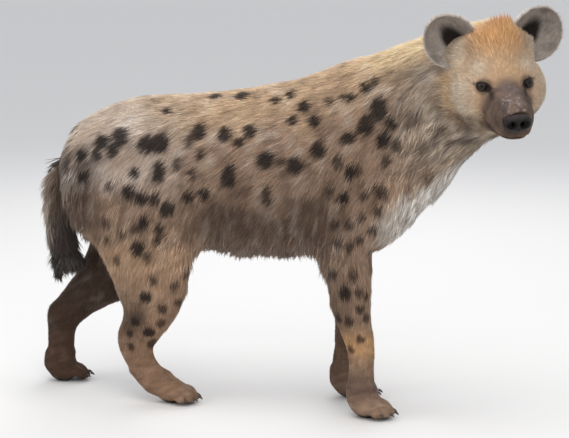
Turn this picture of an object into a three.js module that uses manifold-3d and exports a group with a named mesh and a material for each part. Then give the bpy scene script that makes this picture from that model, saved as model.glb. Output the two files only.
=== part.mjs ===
// A life-size museum model of a spotted hyena, standing square on four feet with its head turned
// to its right. Millimetres: +X is forward along the body, +Y is the animal's left, +Z is up, and
// the floor is z = 0. The outer surfaces are the outline of the coat.
//
// The flesh is one smooth field, blended from tubes along the limbs and from a few muscle masses.
// Each named piece is that field's surface inside its own region, parted from its neighbours by thin
// plane cuts. Long hair (tail brush, nape crest, flank fringe, forelock) is built lock by lock.

import * as THREE from "three";
import { mergeVertices } from "three/addons/utils/BufferGeometryUtils.js";
import Module from "manifold-3d";

const wasm = await Module();
wasm.setup();

// Driving dimensions

const GAP = 0.3; // between touching pieces
const CUT = GAP / 2; // each side of a plane cut
const INFLATE = 0.36; // how far a neighbour is grown before it is cut away
const FLESH_BLEND = 26; // how softly the muscles run into each other
const PROBE = 0.5; // step for the field's slope

const HEAD_AT = [528, -191, 757]; // midway between the eyes
const HEAD_YAW = -68; // turned to the animal's right, degrees
const HEAD_PITCH = 6; // nose down
const HEAD_ROLL = 4.5; // left side up

const EYE = { y: 36, z: 0, radius: 15.5, bulge: 3 }; // in the head's own frame
const EYE_GAZE = [0.84, 0.52, 0.08];
const LID = 3; // thickness of the lids
const EYE_SLIT = { length: 27, height: 16, tilt: 14 };

const EAR = { length: 62, width: 57, depth: 30, wall: 4 }; // half sizes of the cup
const EAR_BASE = [-86, 64, 45];
const EAR_LEAN = 38; // outwards from upright, degrees
const EAR_TURN = 8; // opening turned outwards, degrees

const TAIL_CORE = [
  // x, y, z, half width, half depth
  [-462, 0, 580, 34, 34],
  [-502, -1, 546, 31, 31],
  [-526, -4, 496, 28, 28],
  [-533, -8, 440, 25, 26],
  [-528, -12, 385, 21, 22],
  [-518, -14, 340, 13, 14],
];
const TAIL_TIP = [-482, -18, 254];

// Vectors and smooth joins

const v3 = (a) => new THREE.Vector3(a[0], a[1], a[2]);
const radians = THREE.MathUtils.degToRad;
const lerp = THREE.MathUtils.lerp;
const mirrored = (p, side) => [p[0], p[1] * side, p[2]];

function softMin(a, b, blend) {
  const h = Math.max(blend - Math.abs(a - b), 0) / blend;
  return Math.min(a, b) - (h * h * blend) / 4;
}

// A small repeatable random source, so that every build is the same.
function randomSource(seed) {
  let state = seed;
  return (low = 0, high = 1) => {
    state = (state * 1664525 + 1013904223) % 4294967296;
    return low + ((high - low) * state) / 4294967296;
  };
}

// The field: signed distances to the muscle masses, in world millimetres

// A tube through stations [x, y, z, half width, half depth]; its width lies along `across`.
function tube(stations, across = [0, 1, 0], steps = 4) {
  const path = new THREE.CatmullRomCurve3(stations.map(v3), false, "centripetal");
  const widths = new THREE.CatmullRomCurve3(
    stations.map((s) => new THREE.Vector3(s[3], s[4], 0)),
  );
  const count = (stations.length - 1) * steps;
  const rings = [];
  for (let i = 0; i <= count; i++) {
    const at = path.getPoint(i / count);
    const size = widths.getPoint(i / count);
    rings.push({ at, wide: size.x, deep: size.y });
  }
  const side = v3(across).normalize();
  const middle = rings[count >> 1].at;
  const reach = Math.max(...rings.map((r) => r.at.distanceTo(middle) + Math.max(r.wide, r.deep)));
  const along = new THREE.Vector3();
  const offset = new THREE.Vector3();
  return (p) => {
    const far = p.distanceTo(middle) - reach;
    if (far > 80) return far;
    let best = Infinity;
    for (let i = 0; i < count; i++) {
      const a = rings[i];
      const b = rings[i + 1];
      along.subVectors(b.at, a.at);
      const t = THREE.MathUtils.clamp(
        offset.subVectors(p, a.at).dot(along) / along.lengthSq(),
        0,
        1,
      );
      offset.addScaledVector(along, -t);
      const wide = lerp(a.wide, b.wide, t);
      const deep = lerp(a.deep, b.deep, t);
      const lateral = offset.dot(side);
      const rest = Math.sqrt(Math.max(offset.lengthSq() - lateral * lateral, 0));
      const d = ellipseDistance(lateral, rest, wide, deep);
      if (d < best) best = d;
    }
    return best;
  };
}

function ellipseDistance(a, b, wide, deep) {
  const k0 = Math.hypot(a / wide, b / deep);
  const k1 = Math.hypot(a / (wide * wide), b / (deep * deep));
  return k1 < 1e-9 ? -Math.min(wide, deep) : (k0 * (k0 - 1)) / k1;
}

// An ellipsoid with its own turn, given as an Euler angle set in degrees.
function mass(centre, radii, turn = [0, 0, 0]) {
  const inverse = new THREE.Quaternion()
    .setFromEuler(new THREE.Euler(...turn.map(radians)))
    .invert();
  const at = v3(centre);
  const q = new THREE.Vector3();
  return (p) => {
    q.subVectors(p, at).applyQuaternion(inverse);
    const k0 = Math.hypot(q.x / radii[0], q.y / radii[1], q.z / radii[2]);
    const k1 = Math.hypot(q.x / radii[0] ** 2, q.y / radii[1] ** 2, q.z / radii[2] ** 2);
    return k1 < 1e-9 ? -Math.min(...radii) : (k0 * (k0 - 1)) / k1;
  };
}

function blendOf(parts, blend) {
  return (p) => parts.reduce((d, part) => softMin(d, part(p), blend), 1e6);
}

// Trunk and neck

const trunk = tube(
  [
    [-444, 0, 526, 82, 90],
    [-400, 0, 541, 108, 121],
    [-310, 0, 536, 120, 160],
    [-198, 0, 530, 126, 174],
    [-80, 0, 528, 133, 189],
    [36, 0, 540, 136, 199],
    [110, 0, 555, 130, 203],
    [170, 0, 575, 116, 196],
    [222, 0, 590, 98, 172],
  ],
  [0, 1, 0],
);
const breast = mass([222, 0, 484], [86, 96, 140], [0, 20, 0]);
const neckTube = tube([
  [170, 0, 604, 108, 152],
  [245, -6, 634, 104, 146],
  [330, -22, 682, 98, 140],
  [402, -48, 722, 94, 126],
  [452, -76, 748, 92, 118],
]);

const bothSides = (make) => [make(-1), make(1)];
const shoulders = bothSides((s) => mass([165, 88 * s, 545], [92, 50, 150], [0, -16, 0]));
const haunches = bothSides((s) => mass([-388, 74 * s, 492], [118, 66, 136], [0, 10, 0]));

// Legs: stations [x, y, z, half width, half depth] down to the foot, then the paw's place and heading

const LEGS = {
  fore_right: {
    kind: "fore",
    side: -1,
    stations: [
      [205, -92, 470, 50, 74],
      [160, -98, 372, 50, 66],
      [173, -98, 300, 42, 58],
      [181, -97, 238, 36, 46],
      [199, -95, 172, 34, 38],
      [203, -94, 140, 34, 37],
      [202, -92, 86, 30, 32],
      [207, -90, 46, 34, 34],
    ],
    paw: [217, -90],
    heading: -12,
  },
  fore_left: {
    kind: "fore",
    side: 1,
    stations: [
      [190, 92, 470, 50, 74],
      [128, 98, 372, 50, 66],
      [130, 96, 300, 42, 56],
      [130, 92, 238, 36, 46],
      [130, 88, 172, 34, 38],
      [127, 87, 140, 34, 37],
      [119, 85, 86, 30, 32],
      [121, 84, 46, 34, 34],
    ],
    paw: [136, 84],
    heading: 6,
  },
  hind_right: {
    kind: "hind",
    side: -1,
    stations: [
      [-345, -72, 490, 66, 134],
      [-298, -88, 400, 68, 128],
      [-284, -94, 330, 60, 108],
      [-285, -94, 280, 50, 90],
      [-286, -92, 235, 41, 73],
      [-302, -89, 188, 34, 58],
      [-324, -86, 142, 30, 48],
      [-318, -82, 96, 28, 38],
      [-284, -78, 48, 32, 33],
    ],
    paw: [-243, -75],
    heading: -9,
    hock: [-360, -87, 146, 19],
  },
  hind_left: {
    kind: "hind",
    side: 1,
    stations: [
      [-385, 72, 490, 66, 130],
      [-375, 84, 400, 66, 122],
      [-400, 86, 330, 58, 104],
      [-432, 84, 280, 50, 86],
      [-480, 81, 233, 41, 62],
      [-528, 78, 190, 34, 50],
      [-564, 74, 148, 30, 45],
      [-570, 70, 104, 28, 38],
      [-567, 65, 48, 31, 32],
    ],
    paw: [-561, 63],
    heading: 32,
    hock: [-596, 74, 160, 18],
  },
};

// A paw in its own frame: the origin is on the floor under the pad, +X towards the toes.
const TOES = [
  // sideways place of the knuckle, and how far the toe reaches
  [-30, 42],
  [-11, 55],
  [11, 55],
  [30, 42],
];
const TOE_RADIUS = 13.5;
const CLAW = { length: 15, radius: 4 };

function pawFrame(leg) {
  return new THREE.Matrix4()
    .makeRotationZ(radians(leg.heading))
    .setPosition(leg.paw[0], leg.paw[1], 0);
}

function pawField(leg) {
  const toPaw = pawFrame(leg).invert();
  const pad = mass([-2, 0, 23], [32, 33, 26]);
  const instep = tube([
    [-24, 0, 46, 28, 26],
    [12, 0, 28, 33, 15],
  ]);
  const toes = TOES.map(([y, reach]) =>
    tube([
      [8, y * 0.72, 27, TOE_RADIUS, TOE_RADIUS],
      [reach - 16, y, 24, TOE_RADIUS, TOE_RADIUS],
      [reach - 3, y * 1.05, 11, TOE_RADIUS - 1.5, TOE_RADIUS - 2],
    ]),
  );
  const q = new THREE.Vector3();
  return (p) => {
    q.copy(p).applyMatrix4(toPaw);
    if (q.length() > 190) return q.length() - 120;
    let d = softMin(pad(q), instep(q), 14);
    for (const toe of toes) d = softMin(d, toe(q), 5);
    return d;
  };
}

const legFields = {};
for (const [name, leg] of Object.entries(LEGS)) {
  const parts = [tube(leg.stations)];
  if (leg.hock) parts.push(mass(leg.hock.slice(0, 3), [leg.hock[3], 15, leg.hock[3] + 4]));
  const limb = blendOf(parts, 22);
  const paw = pawField(leg);
  legFields[name] = (p) => softMin(limb(p), paw(p), 14);
}

// Head, in its own frame: the origin midway between the eyes, +X to the nose, +Y to the left

const headFrame = new THREE.Matrix4().compose(
  v3(HEAD_AT),
  new THREE.Quaternion().setFromEuler(
    new THREE.Euler(radians(HEAD_ROLL), radians(HEAD_PITCH), radians(HEAD_YAW), "ZYX"),
  ),
  new THREE.Vector3(1, 1, 1),
);
const toHead = headFrame.clone().invert();

const cranium = mass([-78, 0, 34], [80, 80, 78]);
const crown = mass([-88, 0, 66], [50, 46, 40]);
const cheeks = bothSides((s) => mass([-56, 50 * s, -22], [70, 53, 68], [0, 0, 14 * s]));
const forehead = tube([
  [-60, 0, 72, 54, 44],
  [-12, 0, 34, 46, 36],
  [28, 0, -2, 34, 28],
]);
const muzzle = tube([
  [-8, 0, -32, 60, 48],
  [34, 0, -37, 54, 44],
  [78, 0, -44, 46, 39],
  [104, 0, -49, 41, 33],
  [114, 0, -50, 37, 30],
]);
const flews = bothSides((s) => mass([70, 27 * s, -58], [50, 24, 24], [0, 4, -6 * s]));
const jaw = tube([
  [-50, 0, -72, 64, 42],
  [0, 0, -80, 52, 30],
  [56, 0, -82, 41, 22],
  [106, 0, -83, 32, 16],
]);
const earRoots = bothSides((s) => mass([-84, 66 * s, 62], [30, 30, 30]));
const throat = mass([-96, 0, -62], [62, 84, 66]);
const brows = bothSides((s) => mass([-6, 38 * s, 20], [24, 24, 16], [0, 20, -20 * s]));
const skull = blendOf([cranium, crown, ...cheeks, forehead, throat, ...earRoots], 24);
const upperFace = blendOf([muzzle, ...flews], 14);

function headShape(q) {
  if (q.length() > 330) return q.length() - 230;
  const face = softMin(upperFace(q), jaw(q), 12);
  let d = softMin(skull(q), face, 24);
  for (const m of brows) d = softMin(d, m(q), 24);
  return d;
}

const inHead = new THREE.Vector3();
const headField = (p) => headShape(inHead.copy(p).applyMatrix4(toHead));

function bodyField(p) {
  let d = softMin(trunk(p), breast(p), 40);
  d = softMin(d, neckTube(p), 50);
  for (const m of shoulders) d = softMin(d, m(p), FLESH_BLEND);
  for (const m of haunches) d = softMin(d, m(p), FLESH_BLEND);
  for (const m of Object.values(legFields)) d = softMin(d, m(p), FLESH_BLEND);
  return softMin(d, headField(p), 34);
}

function slope(field, p) {
  const g = new THREE.Vector3();
  const s = new THREE.Vector3();
  for (const axis of ["x", "y", "z"]) {
    s.copy(p)[axis] += PROBE;
    const high = field(s);
    s.copy(p)[axis] -= PROBE;
    g[axis] = (high - field(s)) / (2 * PROBE);
  }
  return g;
}

function ontoSurface(field, p, rounds = 4) {
  for (let i = 0; i < rounds; i++) {
    const g = slope(field, p);
    p.addScaledVector(g, -field(p) / Math.max(g.lengthSq(), 0.2));
  }
  return p;
}

// The first surface point met from outside, going from `from` towards `to`.
function surfaceBetween(field, from, to) {
  const p = new THREE.Vector3();
  let outside = 0;
  let inside = 1;
  for (let t = 0; t <= 1; t += 0.02) {
    if (field(p.lerpVectors(from, to, t)) < 0) {
      inside = t;
      break;
    }
    outside = t;
  }
  for (let i = 0; i < 20; i++) {
    const t = (outside + inside) / 2;
    if (field(p.lerpVectors(from, to, t)) < 0) inside = t;
    else outside = t;
  }
  return p.lerpVectors(from, to, outside).clone();
}

// Turning the field into meshes

// Grid lines from runs [from, to, step].
function gridLines(runs) {
  const lines = [runs[0][0]];
  for (const [from, to, step] of runs) {
    const count = Math.round((to - from) / step);
    for (let i = 1; i <= count; i++) lines.push(from + ((to - from) * i) / count);
  }
  return lines;
}

// A grid cell's corners are numbered by their bits x 1, y 2, z 4, and an edge by its start corner
// and its axis. Each face lists its corners in turn.
const CORNERS = [0, 1, 2, 3, 4, 5, 6, 7].map((c) => [c & 1, (c >> 1) & 1, c >> 2]);
const CELL_FACES = [
  [0, 1, 3, 2],
  [4, 5, 7, 6],
  [0, 1, 5, 4],
  [2, 3, 7, 6],
  [0, 2, 6, 4],
  [1, 3, 7, 5],
];
const edgeId = (a, b) => Math.min(a, b) * 3 + { 1: 0, 2: 1, 4: 2 }[a ^ b];
const CELL_EDGES = [];
for (let a = 0; a < 8; a++)
  for (const bit of [1, 2, 4]) if (!(a & bit)) CELL_EDGES.push([a, a | bit]);

// Sorts a cell's crossed edges into sheets, so that two sheets in one cell get a vertex each.
function sheetsOf(at) {
  const inside = at.map((v) => v < 0);
  const sheet = new Map();
  for (const [a, b] of CELL_EDGES) if (inside[a] !== inside[b]) sheet.set(edgeId(a, b), edgeId(a, b));
  const find = (e) => (sheet.get(e) === e ? e : find(sheet.get(e)));
  for (const face of CELL_FACES)
    for (let i = 0; i < 4; i++) {
      const [before, here, after] = [face[(i + 3) % 4], face[i], face[(i + 1) % 4]];
      const across = face[(i + 2) % 4];
      if (inside[here] && !inside[before] && !inside[after])
        sheet.set(find(edgeId(before, here)), find(edgeId(here, after)));
      else if (!inside[here] && inside[before] && inside[after] && inside[across])
        sheet.set(find(edgeId(before, here)), find(edgeId(here, after)));
      else if (inside[here] && inside[after] && !inside[before] && !inside[across])
        sheet.set(find(edgeId(before, here)), find(edgeId(after, across)));
    }
  return { edges: [...sheet.keys()], find };
}

// The field's surface on a box grid, as a solid. `frame` places the grid in the world, and the
// mesh stays in the grid's own frame.
function polygonise(field, runs, frame = new THREE.Matrix4()) {
  const [xs, ys, zs] = runs.map(gridLines);
  const [nx, ny, nz] = [xs.length, ys.length, zs.length];
  const index = (i, j, k) => (k * ny + j) * nx + i;
  const world = new THREE.Vector3();
  const local = (p) => field(world.copy(p).applyMatrix4(frame));
  const values = new Float32Array(nx * ny * nz);
  const p = new THREE.Vector3();
  for (let k = 0; k < nz; k++)
    for (let j = 0; j < ny; j++)
      for (let i = 0; i < nx; i++) {
        const rim = !i || !j || !k || i === nx - 1 || j === ny - 1 || k === nz - 1;
        values[index(i, j, k)] = rim ? 1 : local(p.set(xs[i], ys[j], zs[k]));
      }
  const vertexOf = new Map();
  const positions = [];
  const crossing = (cell, at, edge) => {
    const a = Math.floor(edge / 3);
    const b = a | (1 << (edge % 3));
    const t = at[a] / (at[a] - at[b]);
    return new THREE.Vector3(
      lerp(xs[cell[0] + CORNERS[a][0]], xs[cell[0] + CORNERS[b][0]], t),
      lerp(ys[cell[1] + CORNERS[a][1]], ys[cell[1] + CORNERS[b][1]], t),
      lerp(zs[cell[2] + CORNERS[a][2]], zs[cell[2] + CORNERS[b][2]], t),
    );
  };
  for (let k = 0; k < nz - 1; k++)
    for (let j = 0; j < ny - 1; j++)
      for (let i = 0; i < nx - 1; i++) {
        const at = CORNERS.map(([a, b, c]) => values[index(i + a, j + b, k + c)]);
        if (at.every((v) => v < 0) || at.every((v) => v >= 0)) continue;
        const { edges, find } = sheetsOf(at);
        for (const first of new Set(edges.map(find))) {
          const own = edges.filter((e) => find(e) === first);
          const vertex = new THREE.Vector3();
          for (const e of own) vertex.add(crossing([i, j, k], at, e));
          vertex.divideScalar(own.length);
          const inner = i > 0 && j > 0 && k > 0 && i < nx - 2 && j < ny - 2 && k < nz - 2;
          if (inner) {
            const low = new THREE.Vector3(xs[i], ys[j], zs[k]);
            const high = new THREE.Vector3(xs[i + 1], ys[j + 1], zs[k + 1]);
            ontoSurface(local, vertex).clamp(low, high);
          }
          for (const e of own) vertexOf.set(index(i, j, k) * 24 + e, positions.length / 3);
          positions.push(vertex.x, vertex.y, vertex.z);
        }
      }
  const faces = [];
  // The four cells round a grid edge, as [cell offset, the edge's start corner in that cell].
  const around = {
    0: [[0, -1, -1], [0, 0, -1], [0, 0, 0], [0, -1, 0]],
    1: [[-1, 0, -1], [-1, 0, 0], [0, 0, 0], [0, 0, -1]],
    2: [[-1, -1, 0], [0, -1, 0], [0, 0, 0], [-1, 0, 0]],
  };
  for (let k = 0; k < nz - 1; k++)
    for (let j = 0; j < ny - 1; j++)
      for (let i = 0; i < nx - 1; i++) {
        const here = values[index(i, j, k)] < 0;
        for (const axis of [0, 1, 2]) {
          const [a, b, c] = [i + (axis === 0), j + (axis === 1), k + (axis === 2)];
          if (here === values[index(a, b, c)] < 0) continue;
          const ids = around[axis].map(([x, y, z]) => {
            const corner = -x + 2 * -y + 4 * -z;
            return vertexOf.get(index(i + x, j + y, k + z) * 24 + corner * 3 + axis);
          });
          if (!here) ids.reverse();
          const at = ids.map((id) => v3(positions.slice(id * 3, id * 3 + 3)));
          const short = at[0].distanceTo(at[2]) <= at[1].distanceTo(at[3]);
          const order = short ? [0, 1, 2, 0, 2, 3] : [1, 2, 3, 1, 3, 0];
          faces.push(...order.map((o) => ids[o]));
        }
      }
  return solid(positions, faces);
}

function solid(positions, faces) {
  return new wasm.Manifold(
    new wasm.Mesh({
      numProp: 3,
      vertProperties: new Float32Array(positions),
      triVerts: new Uint32Array(faces),
    }),
  );
}

function solidOf(geometry, matrix = new THREE.Matrix4()) {
  const g = geometry.clone().applyMatrix4(matrix);
  g.deleteAttribute("normal");
  g.deleteAttribute("uv");
  const merged = mergeVertices(g, 1e-3);
  return solid(merged.attributes.position.array, merged.index.array);
}

function geometryOf(body) {
  const mesh = body.getMesh();
  const g = new THREE.BufferGeometry();
  g.setAttribute("position", new THREE.Float32BufferAttribute(mesh.vertProperties, 3));
  g.setIndex(new THREE.Uint32BufferAttribute(mesh.triVerts, 1));
  g.computeVertexNormals();
  return g;
}

// The body grown outwards by a hair, to cut a neighbour clear of it.
function grown(body) {
  const g = geometryOf(body);
  const at = g.attributes.position;
  const n = g.attributes.normal;
  for (let i = 0; i < at.count; i++) {
    const p = new THREE.Vector3().fromBufferAttribute(at, i);
    p.addScaledVector(new THREE.Vector3().fromBufferAttribute(n, i), INFLATE);
    at.setXYZ(i, p.x, p.y, p.z);
  }
  return solid(at.array, g.index.array).add(body);
}

function largest(body) {
  return body.decompose().reduce((a, b) => (b.volume() > a.volume() ? b : a));
}

function keepAbove(body, normal, point) {
  const n = v3(normal).normalize();
  return body.trimByPlane([n.x, n.y, n.z], n.dot(v3(point)) + CUT);
}

function union(bodies) {
  return bodies.reduce((a, b) => a.add(b));
}

// Locks of long hair

// A flat, tapered lock that leaves the surface along `lie`, lifts off it and droops at the tip.
function lock({ root, normal, lie, length, width, thick, lift = 0.35, droop = 0.2, sink = 6 }) {
  const up = normal.clone().normalize();
  const along = lie.clone().addScaledVector(up, -lie.dot(up)).normalize();
  const start = root.clone().addScaledVector(up, -sink);
  const rings = 3;
  const path = new THREE.CubicBezierCurve3(
    start,
    start.clone().addScaledVector(along, length * 0.3).addScaledVector(up, length * lift + sink),
    start
      .clone()
      .addScaledVector(along, length * 0.68)
      .addScaledVector(up, length * lift + sink * 0.8)
      .add(new THREE.Vector3(0, 0, -length * droop * 0.4)),
    start
      .clone()
      .addScaledVector(along, length)
      .addScaledVector(up, length * lift * 0.6 + sink * 0.6)
      .add(new THREE.Vector3(0, 0, -length * droop)),
  );
  const across = new THREE.Vector3().crossVectors(along, up).normalize();
  const positions = [];
  const faces = [];
  const profile = [0.8, 1, 0.8];
  for (let r = 0; r < rings; r++) {
    const t = r / rings;
    const c = path.getPoint(t);
    const face = new THREE.Vector3().crossVectors(across, path.getTangent(t)).normalize();
    const w = (width / 2) * profile[r];
    const h = (thick / 2) * profile[r];
    for (const [a, b] of [[1, 0], [0, 1], [-1, 0], [0, -1]])
      positions.push(
        ...c.clone().addScaledVector(across, a * w).addScaledVector(face, b * h).toArray(),
      );
  }
  positions.push(...path.getPoint(1).toArray());
  const tip = rings * 4;
  for (let s = 0; s < 4; s++) {
    const next = (s + 1) % 4;
    for (let r = 0; r < rings - 1; r++) {
      const [a, b, c, d] = [r * 4 + s, r * 4 + next, r * 4 + 4 + next, r * 4 + 4 + s];
      faces.push(a, b, c, a, c, d);
    }
    faces.push(tip - 4 + s, tip - 4 + next, tip);
  }
  faces.push(0, 2, 1, 0, 3, 2);
  const made = solid(positions, faces);
  return made.volume() < 0 ? solid(positions, faces.reverse()) : made;
}

// Regions of the body

const HEAD_SEAM = -112; // in the head's frame
const headPlaneNormal = v3([1, 0, 0]).transformDirection(headFrame).toArray();
const headPlanePoint = v3([HEAD_SEAM, 0, 0]).applyMatrix4(headFrame).toArray();
const NECK_PLANE = { normal: [0.9, 0, 0.43], point: [262, 0, 660] };
const negative = (n) => n.map((c) => -c);

// A block whose top face is the cut between a leg and the trunk.
function legRegion({ low, high, side, inner, grow }) {
  const [x0, z0] = low;
  const [x1, z1] = high;
  const shape = new THREE.Shape();
  shape.moveTo(x0 - grow, -80);
  shape.lineTo(x1 + grow, -80);
  shape.lineTo(x1 + grow, z1 + grow);
  shape.lineTo(x0 - grow, z0 + grow);
  const depth = 260;
  const g = new THREE.ExtrudeGeometry(shape, { depth, bevelEnabled: false });
  // The shape's plane is turned upright, so that its depth runs along Y.
  g.rotateX(Math.PI / 2);
  g.translate(0, side > 0 ? inner - grow + depth : -inner + grow, 0);
  return solidOf(g);
}

const REGIONS = {
  fore_right: { low: [60, 372], high: [330, 392], inner: 26 },
  fore_left: { low: [40, 372], high: [330, 392], inner: 26 },
  hind_right: { low: [-560, 452], high: [-140, 385], inner: 6 },
  hind_left: { low: [-660, 470], high: [-190, 392], inner: 6 },
};

// Materials

const finish = (color, roughness) => new THREE.MeshStandardMaterial({ color, roughness, metalness: 0 });
const MATERIALS = {
  coat: finish(0xa98d6d, 0.9),
  dark: finish(0x3a312c, 0.9),
  ear: finish(0x8d8178, 0.85),
  nose: finish(0x1e1a1a, 0.45),
  eye: finish(0x120c08, 0.12),
  claw: finish(0x2c241d, 0.5),
};

const hyena = new THREE.Group();
const headGroup = new THREE.Group();
headFrame.decompose(headGroup.position, headGroup.quaternion, headGroup.scale);
hyena.add(headGroup);

function addNode(name, body, material, parent = hyena) {
  const kept = largest(body);
  const mesh = new THREE.Mesh(geometryOf(kept), MATERIALS[material]);
  mesh.name = name;
  parent.add(mesh);
  return kept;
}

// A body made in the frame of a group, carried to another frame.
const carried = (body, frame) => body.transform(frame.elements);

// Long hair on the trunk and neck: a short crest along the nape, and a fringe along the belly

// Locks rooted where lines from `from` towards `to` meet the flesh.
function lockRow({ count, from, to, lie, shape, random }) {
  const locks = [];
  for (let i = 0; i < count; i++) {
    const t = (i + random(0.2, 0.8)) / count;
    const root = surfaceBetween(bodyField, from(t, random), to(t));
    locks.push(
      lock({
        root,
        normal: slope(bodyField, root),
        lie: lie(t, random),
        length: shape.length * random(0.8, 1.2),
        width: shape.width * random(0.85, 1.15),
        thick: shape.thick,
        lift: shape.lift,
        droop: shape.droop,
        sink: shape.sink,
      }),
    );
  }
  return locks;
}

const CREST = { length: 70, width: 30, thick: 14, lift: 0.07, droop: 0, sink: 8 };
const CREST_LINE = { from: 405, to: 85, swing: -50, count: 7 }; // swings with the neck's bend
function crestRow(side, offset, seed) {
  const along = (t) => lerp(CREST_LINE.from, CREST_LINE.to, t);
  const middle = (t) => CREST_LINE.swing * (1 - t) ** 2;
  return lockRow({
    count: CREST_LINE.count,
    from: (t, random) => v3([along(t), middle(t) + side * offset * random(0.7, 1.3), 1000]),
    to: (t) => v3([along(t), middle(t) + side * offset, 500]),
    lie: (t, random) => new THREE.Vector3(-1, side * random(0.05, 0.3), 0.1),
    shape: CREST,
    random: randomSource(seed),
  });
}
const crest = union([...crestRow(1, 3, 11), ...crestRow(-1, 24, 12), ...crestRow(1, 24, 13)]);

const FRINGE = { length: 80, width: 42, thick: 14, lift: 0.05, droop: 0.08, sink: 7 };
const FRINGE_ROW = { from: -205, to: 100, outside: 230, rise: 50, count: 8 };
const alongBelly = (t) => lerp(FRINGE_ROW.from, FRINGE_ROW.to, t);
const fringeRow = (side, height, seed) =>
  lockRow({
    count: FRINGE_ROW.count,
    from: (t, random) => v3([alongBelly(t), side * FRINGE_ROW.outside, height + random(-12, 12)]),
    to: (t) => v3([alongBelly(t), 0, height + FRINGE_ROW.rise]),
    lie: (t, random) => new THREE.Vector3(random(-0.5, -0.2), -side * 0.3, -1),
    shape: FRINGE,
    random: randomSource(seed),
  });
const FRINGE_HEIGHTS = [350, 392];
const fringe = union(
  FRINGE_HEIGHTS.flatMap((z, i) => [...fringeRow(-1, z, 21 + i), ...fringeRow(1, z, 31 + i)]),
);

// Torso

const wholeTrunk = polygonise(bodyField, [
  [[-590, -310, 37], [-310, 90, 57], [90, 390, 38]],
  [[-190, 190, 38]],
  [[250, 880, 42]],
]);
const behindNeck = (body) => keepAbove(body, negative(NECK_PLANE.normal), NECK_PLANE.point);
let torso = behindNeck(wholeTrunk.add(crest)).add(fringe);
for (const [name, leg] of Object.entries(LEGS))
  torso = torso.subtract(legRegion({ ...REGIONS[name], side: leg.side, grow: GAP }));
torso = addNode("torso", torso, "coat");

// Neck

let neck = polygonise(bodyField, [
  [[180, 380, 37], [380, 620, 26]],
  [[-230, -60, 25], [-60, 140, 35]],
  [[440, 960, 33]],
]).add(crest);
neck = keepAbove(neck, NECK_PLANE.normal, NECK_PLANE.point);
neck = keepAbove(neck, negative(headPlaneNormal), headPlanePoint);
neck = addNode("neck", neck, "coat");

// Legs, paws and claws

const PAW_CUT = 120;
const KNEE_CUT = 262;

// A claw: a curved cone that leaves the front of its toe and stays just clear of the floor.
function clawShape() {
  const root = v3([-9, 0, 4]);
  const bend = v3([4, 0, 6]);
  const tip = v3([CLAW.length - 6, 0, -5]);
  const curve = new THREE.QuadraticBezierCurve3(root, bend, tip);
  const rings = 3;
  const sides = 5;
  const positions = [];
  const faces = [];
  for (let r = 0; r < rings; r++) {
    const c = curve.getPoint(r / rings);
    const out = curve.getTangent(r / rings).cross(new THREE.Vector3(0, 1, 0));
    const size = CLAW.radius * Math.sqrt(1 - r / rings);
    for (let s = 0; s < sides; s++) {
      const a = (2 * Math.PI * s) / sides;
      const at = c.clone().addScaledVector(out, Math.cos(a) * size * 1.15);
      positions.push(at.x, at.y + Math.sin(a) * size * 0.8, at.z);
    }
  }
  positions.push(...tip.toArray(), ...root.toArray());
  const end = rings * sides;
  for (let s = 0; s < sides; s++) {
    const n = (s + 1) % sides;
    for (let r = 0; r < rings - 1; r++) {
      const [a, b, c, d] = [r * sides + s, r * sides + n, (r + 1) * sides + n, (r + 1) * sides + s];
      faces.push(a, b, c, a, c, d);
    }
    faces.push(end - sides + s, end - sides + n, end, n, s, end + 1);
  }
  const made = solid(positions, faces);
  return made.volume() > 0 ? made : solid(positions, faces.reverse());
}

const limbs = {};
for (const [name, leg] of Object.entries(LEGS)) {
  const xs = leg.stations.map((s) => s[0]);
  const ys = leg.stations.map((s) => s[1]);
  const upper = polygonise(bodyField, [
    [[Math.min(...xs) - 175, Math.max(...xs) + 165, 26]],
    [[Math.min(...ys) - 96, Math.max(...ys) + 96, 22]],
    [[92, 520, 28]],
  ]);
  const limb = upper.intersect(legRegion({ ...REGIONS[name], side: leg.side, grow: 0 }));
  const above = (body, z) => keepAbove(body, [0, 0, 1], [0, 0, z]);
  const below = (body, z) => keepAbove(body, [0, 0, -1], [0, 0, z]);
  if (leg.kind === "hind") {
    limbs[`${name}_thigh`] = addNode(`${name}_thigh`, above(limb, KNEE_CUT), "coat");
    const shank = above(below(limb, KNEE_CUT), PAW_CUT);
    limbs[`${name}_shank`] = addNode(`${name}_shank`, shank, "coat");
  } else {
    limbs[`${name}_arm`] = addNode(`${name}_arm`, above(limb, PAW_CUT), "coat");
  }
  const frame = pawFrame(leg);
  const heel = leg.kind === "hind" ? -130 : -78;
  let paw = polygonise(
    bodyField,
    [
      [[heel, -30, 21], [-30, 78, 12]],
      [[-66, 66, 12]],
      [[-12, 44, 12], [44, 150, 24]],
    ],
    frame,
  );
  paw = below(paw, PAW_CUT).trimByPlane([0, 0, 1], 0);
  const group = new THREE.Group();
  frame.decompose(group.position, group.quaternion, group.scale);
  hyena.add(group);
  paw = addNode(`${name}_paw`, paw, "coat", group);
  const clear = grown(paw);
  TOES.forEach(([y, reach], i) => {
    const at = new THREE.Matrix4().setPosition(reach + TOE_RADIUS - 5, y * 1.05, 12);
    const claw = clawShape().transform(at.elements).subtract(clear);
    addNode(`${name}_claw_${i + 1}`, claw, "claw", group);
  });
}

// Eyes: a ball in a socket of the head, seen through an almond slit between the lids

function eyeFrame(side) {
  const gaze = v3(mirrored(EYE_GAZE, side)).normalize();
  const aim = v3([0, EYE.y * side, EYE.z]);
  const skin = surfaceBetween(headShape, aim.clone().addScaledVector(gaze, 90), aim);
  const across = new THREE.Vector3(0, 0, 1).cross(gaze).normalize();
  const up = gaze.clone().cross(across);
  const at = skin.addScaledVector(gaze, EYE.bulge - EYE.radius);
  return new THREE.Matrix4().makeBasis(gaze, across, up).setPosition(at);
}

const ball = (radius) => solidOf(new THREE.IcosahedronGeometry(radius, 2));

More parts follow.
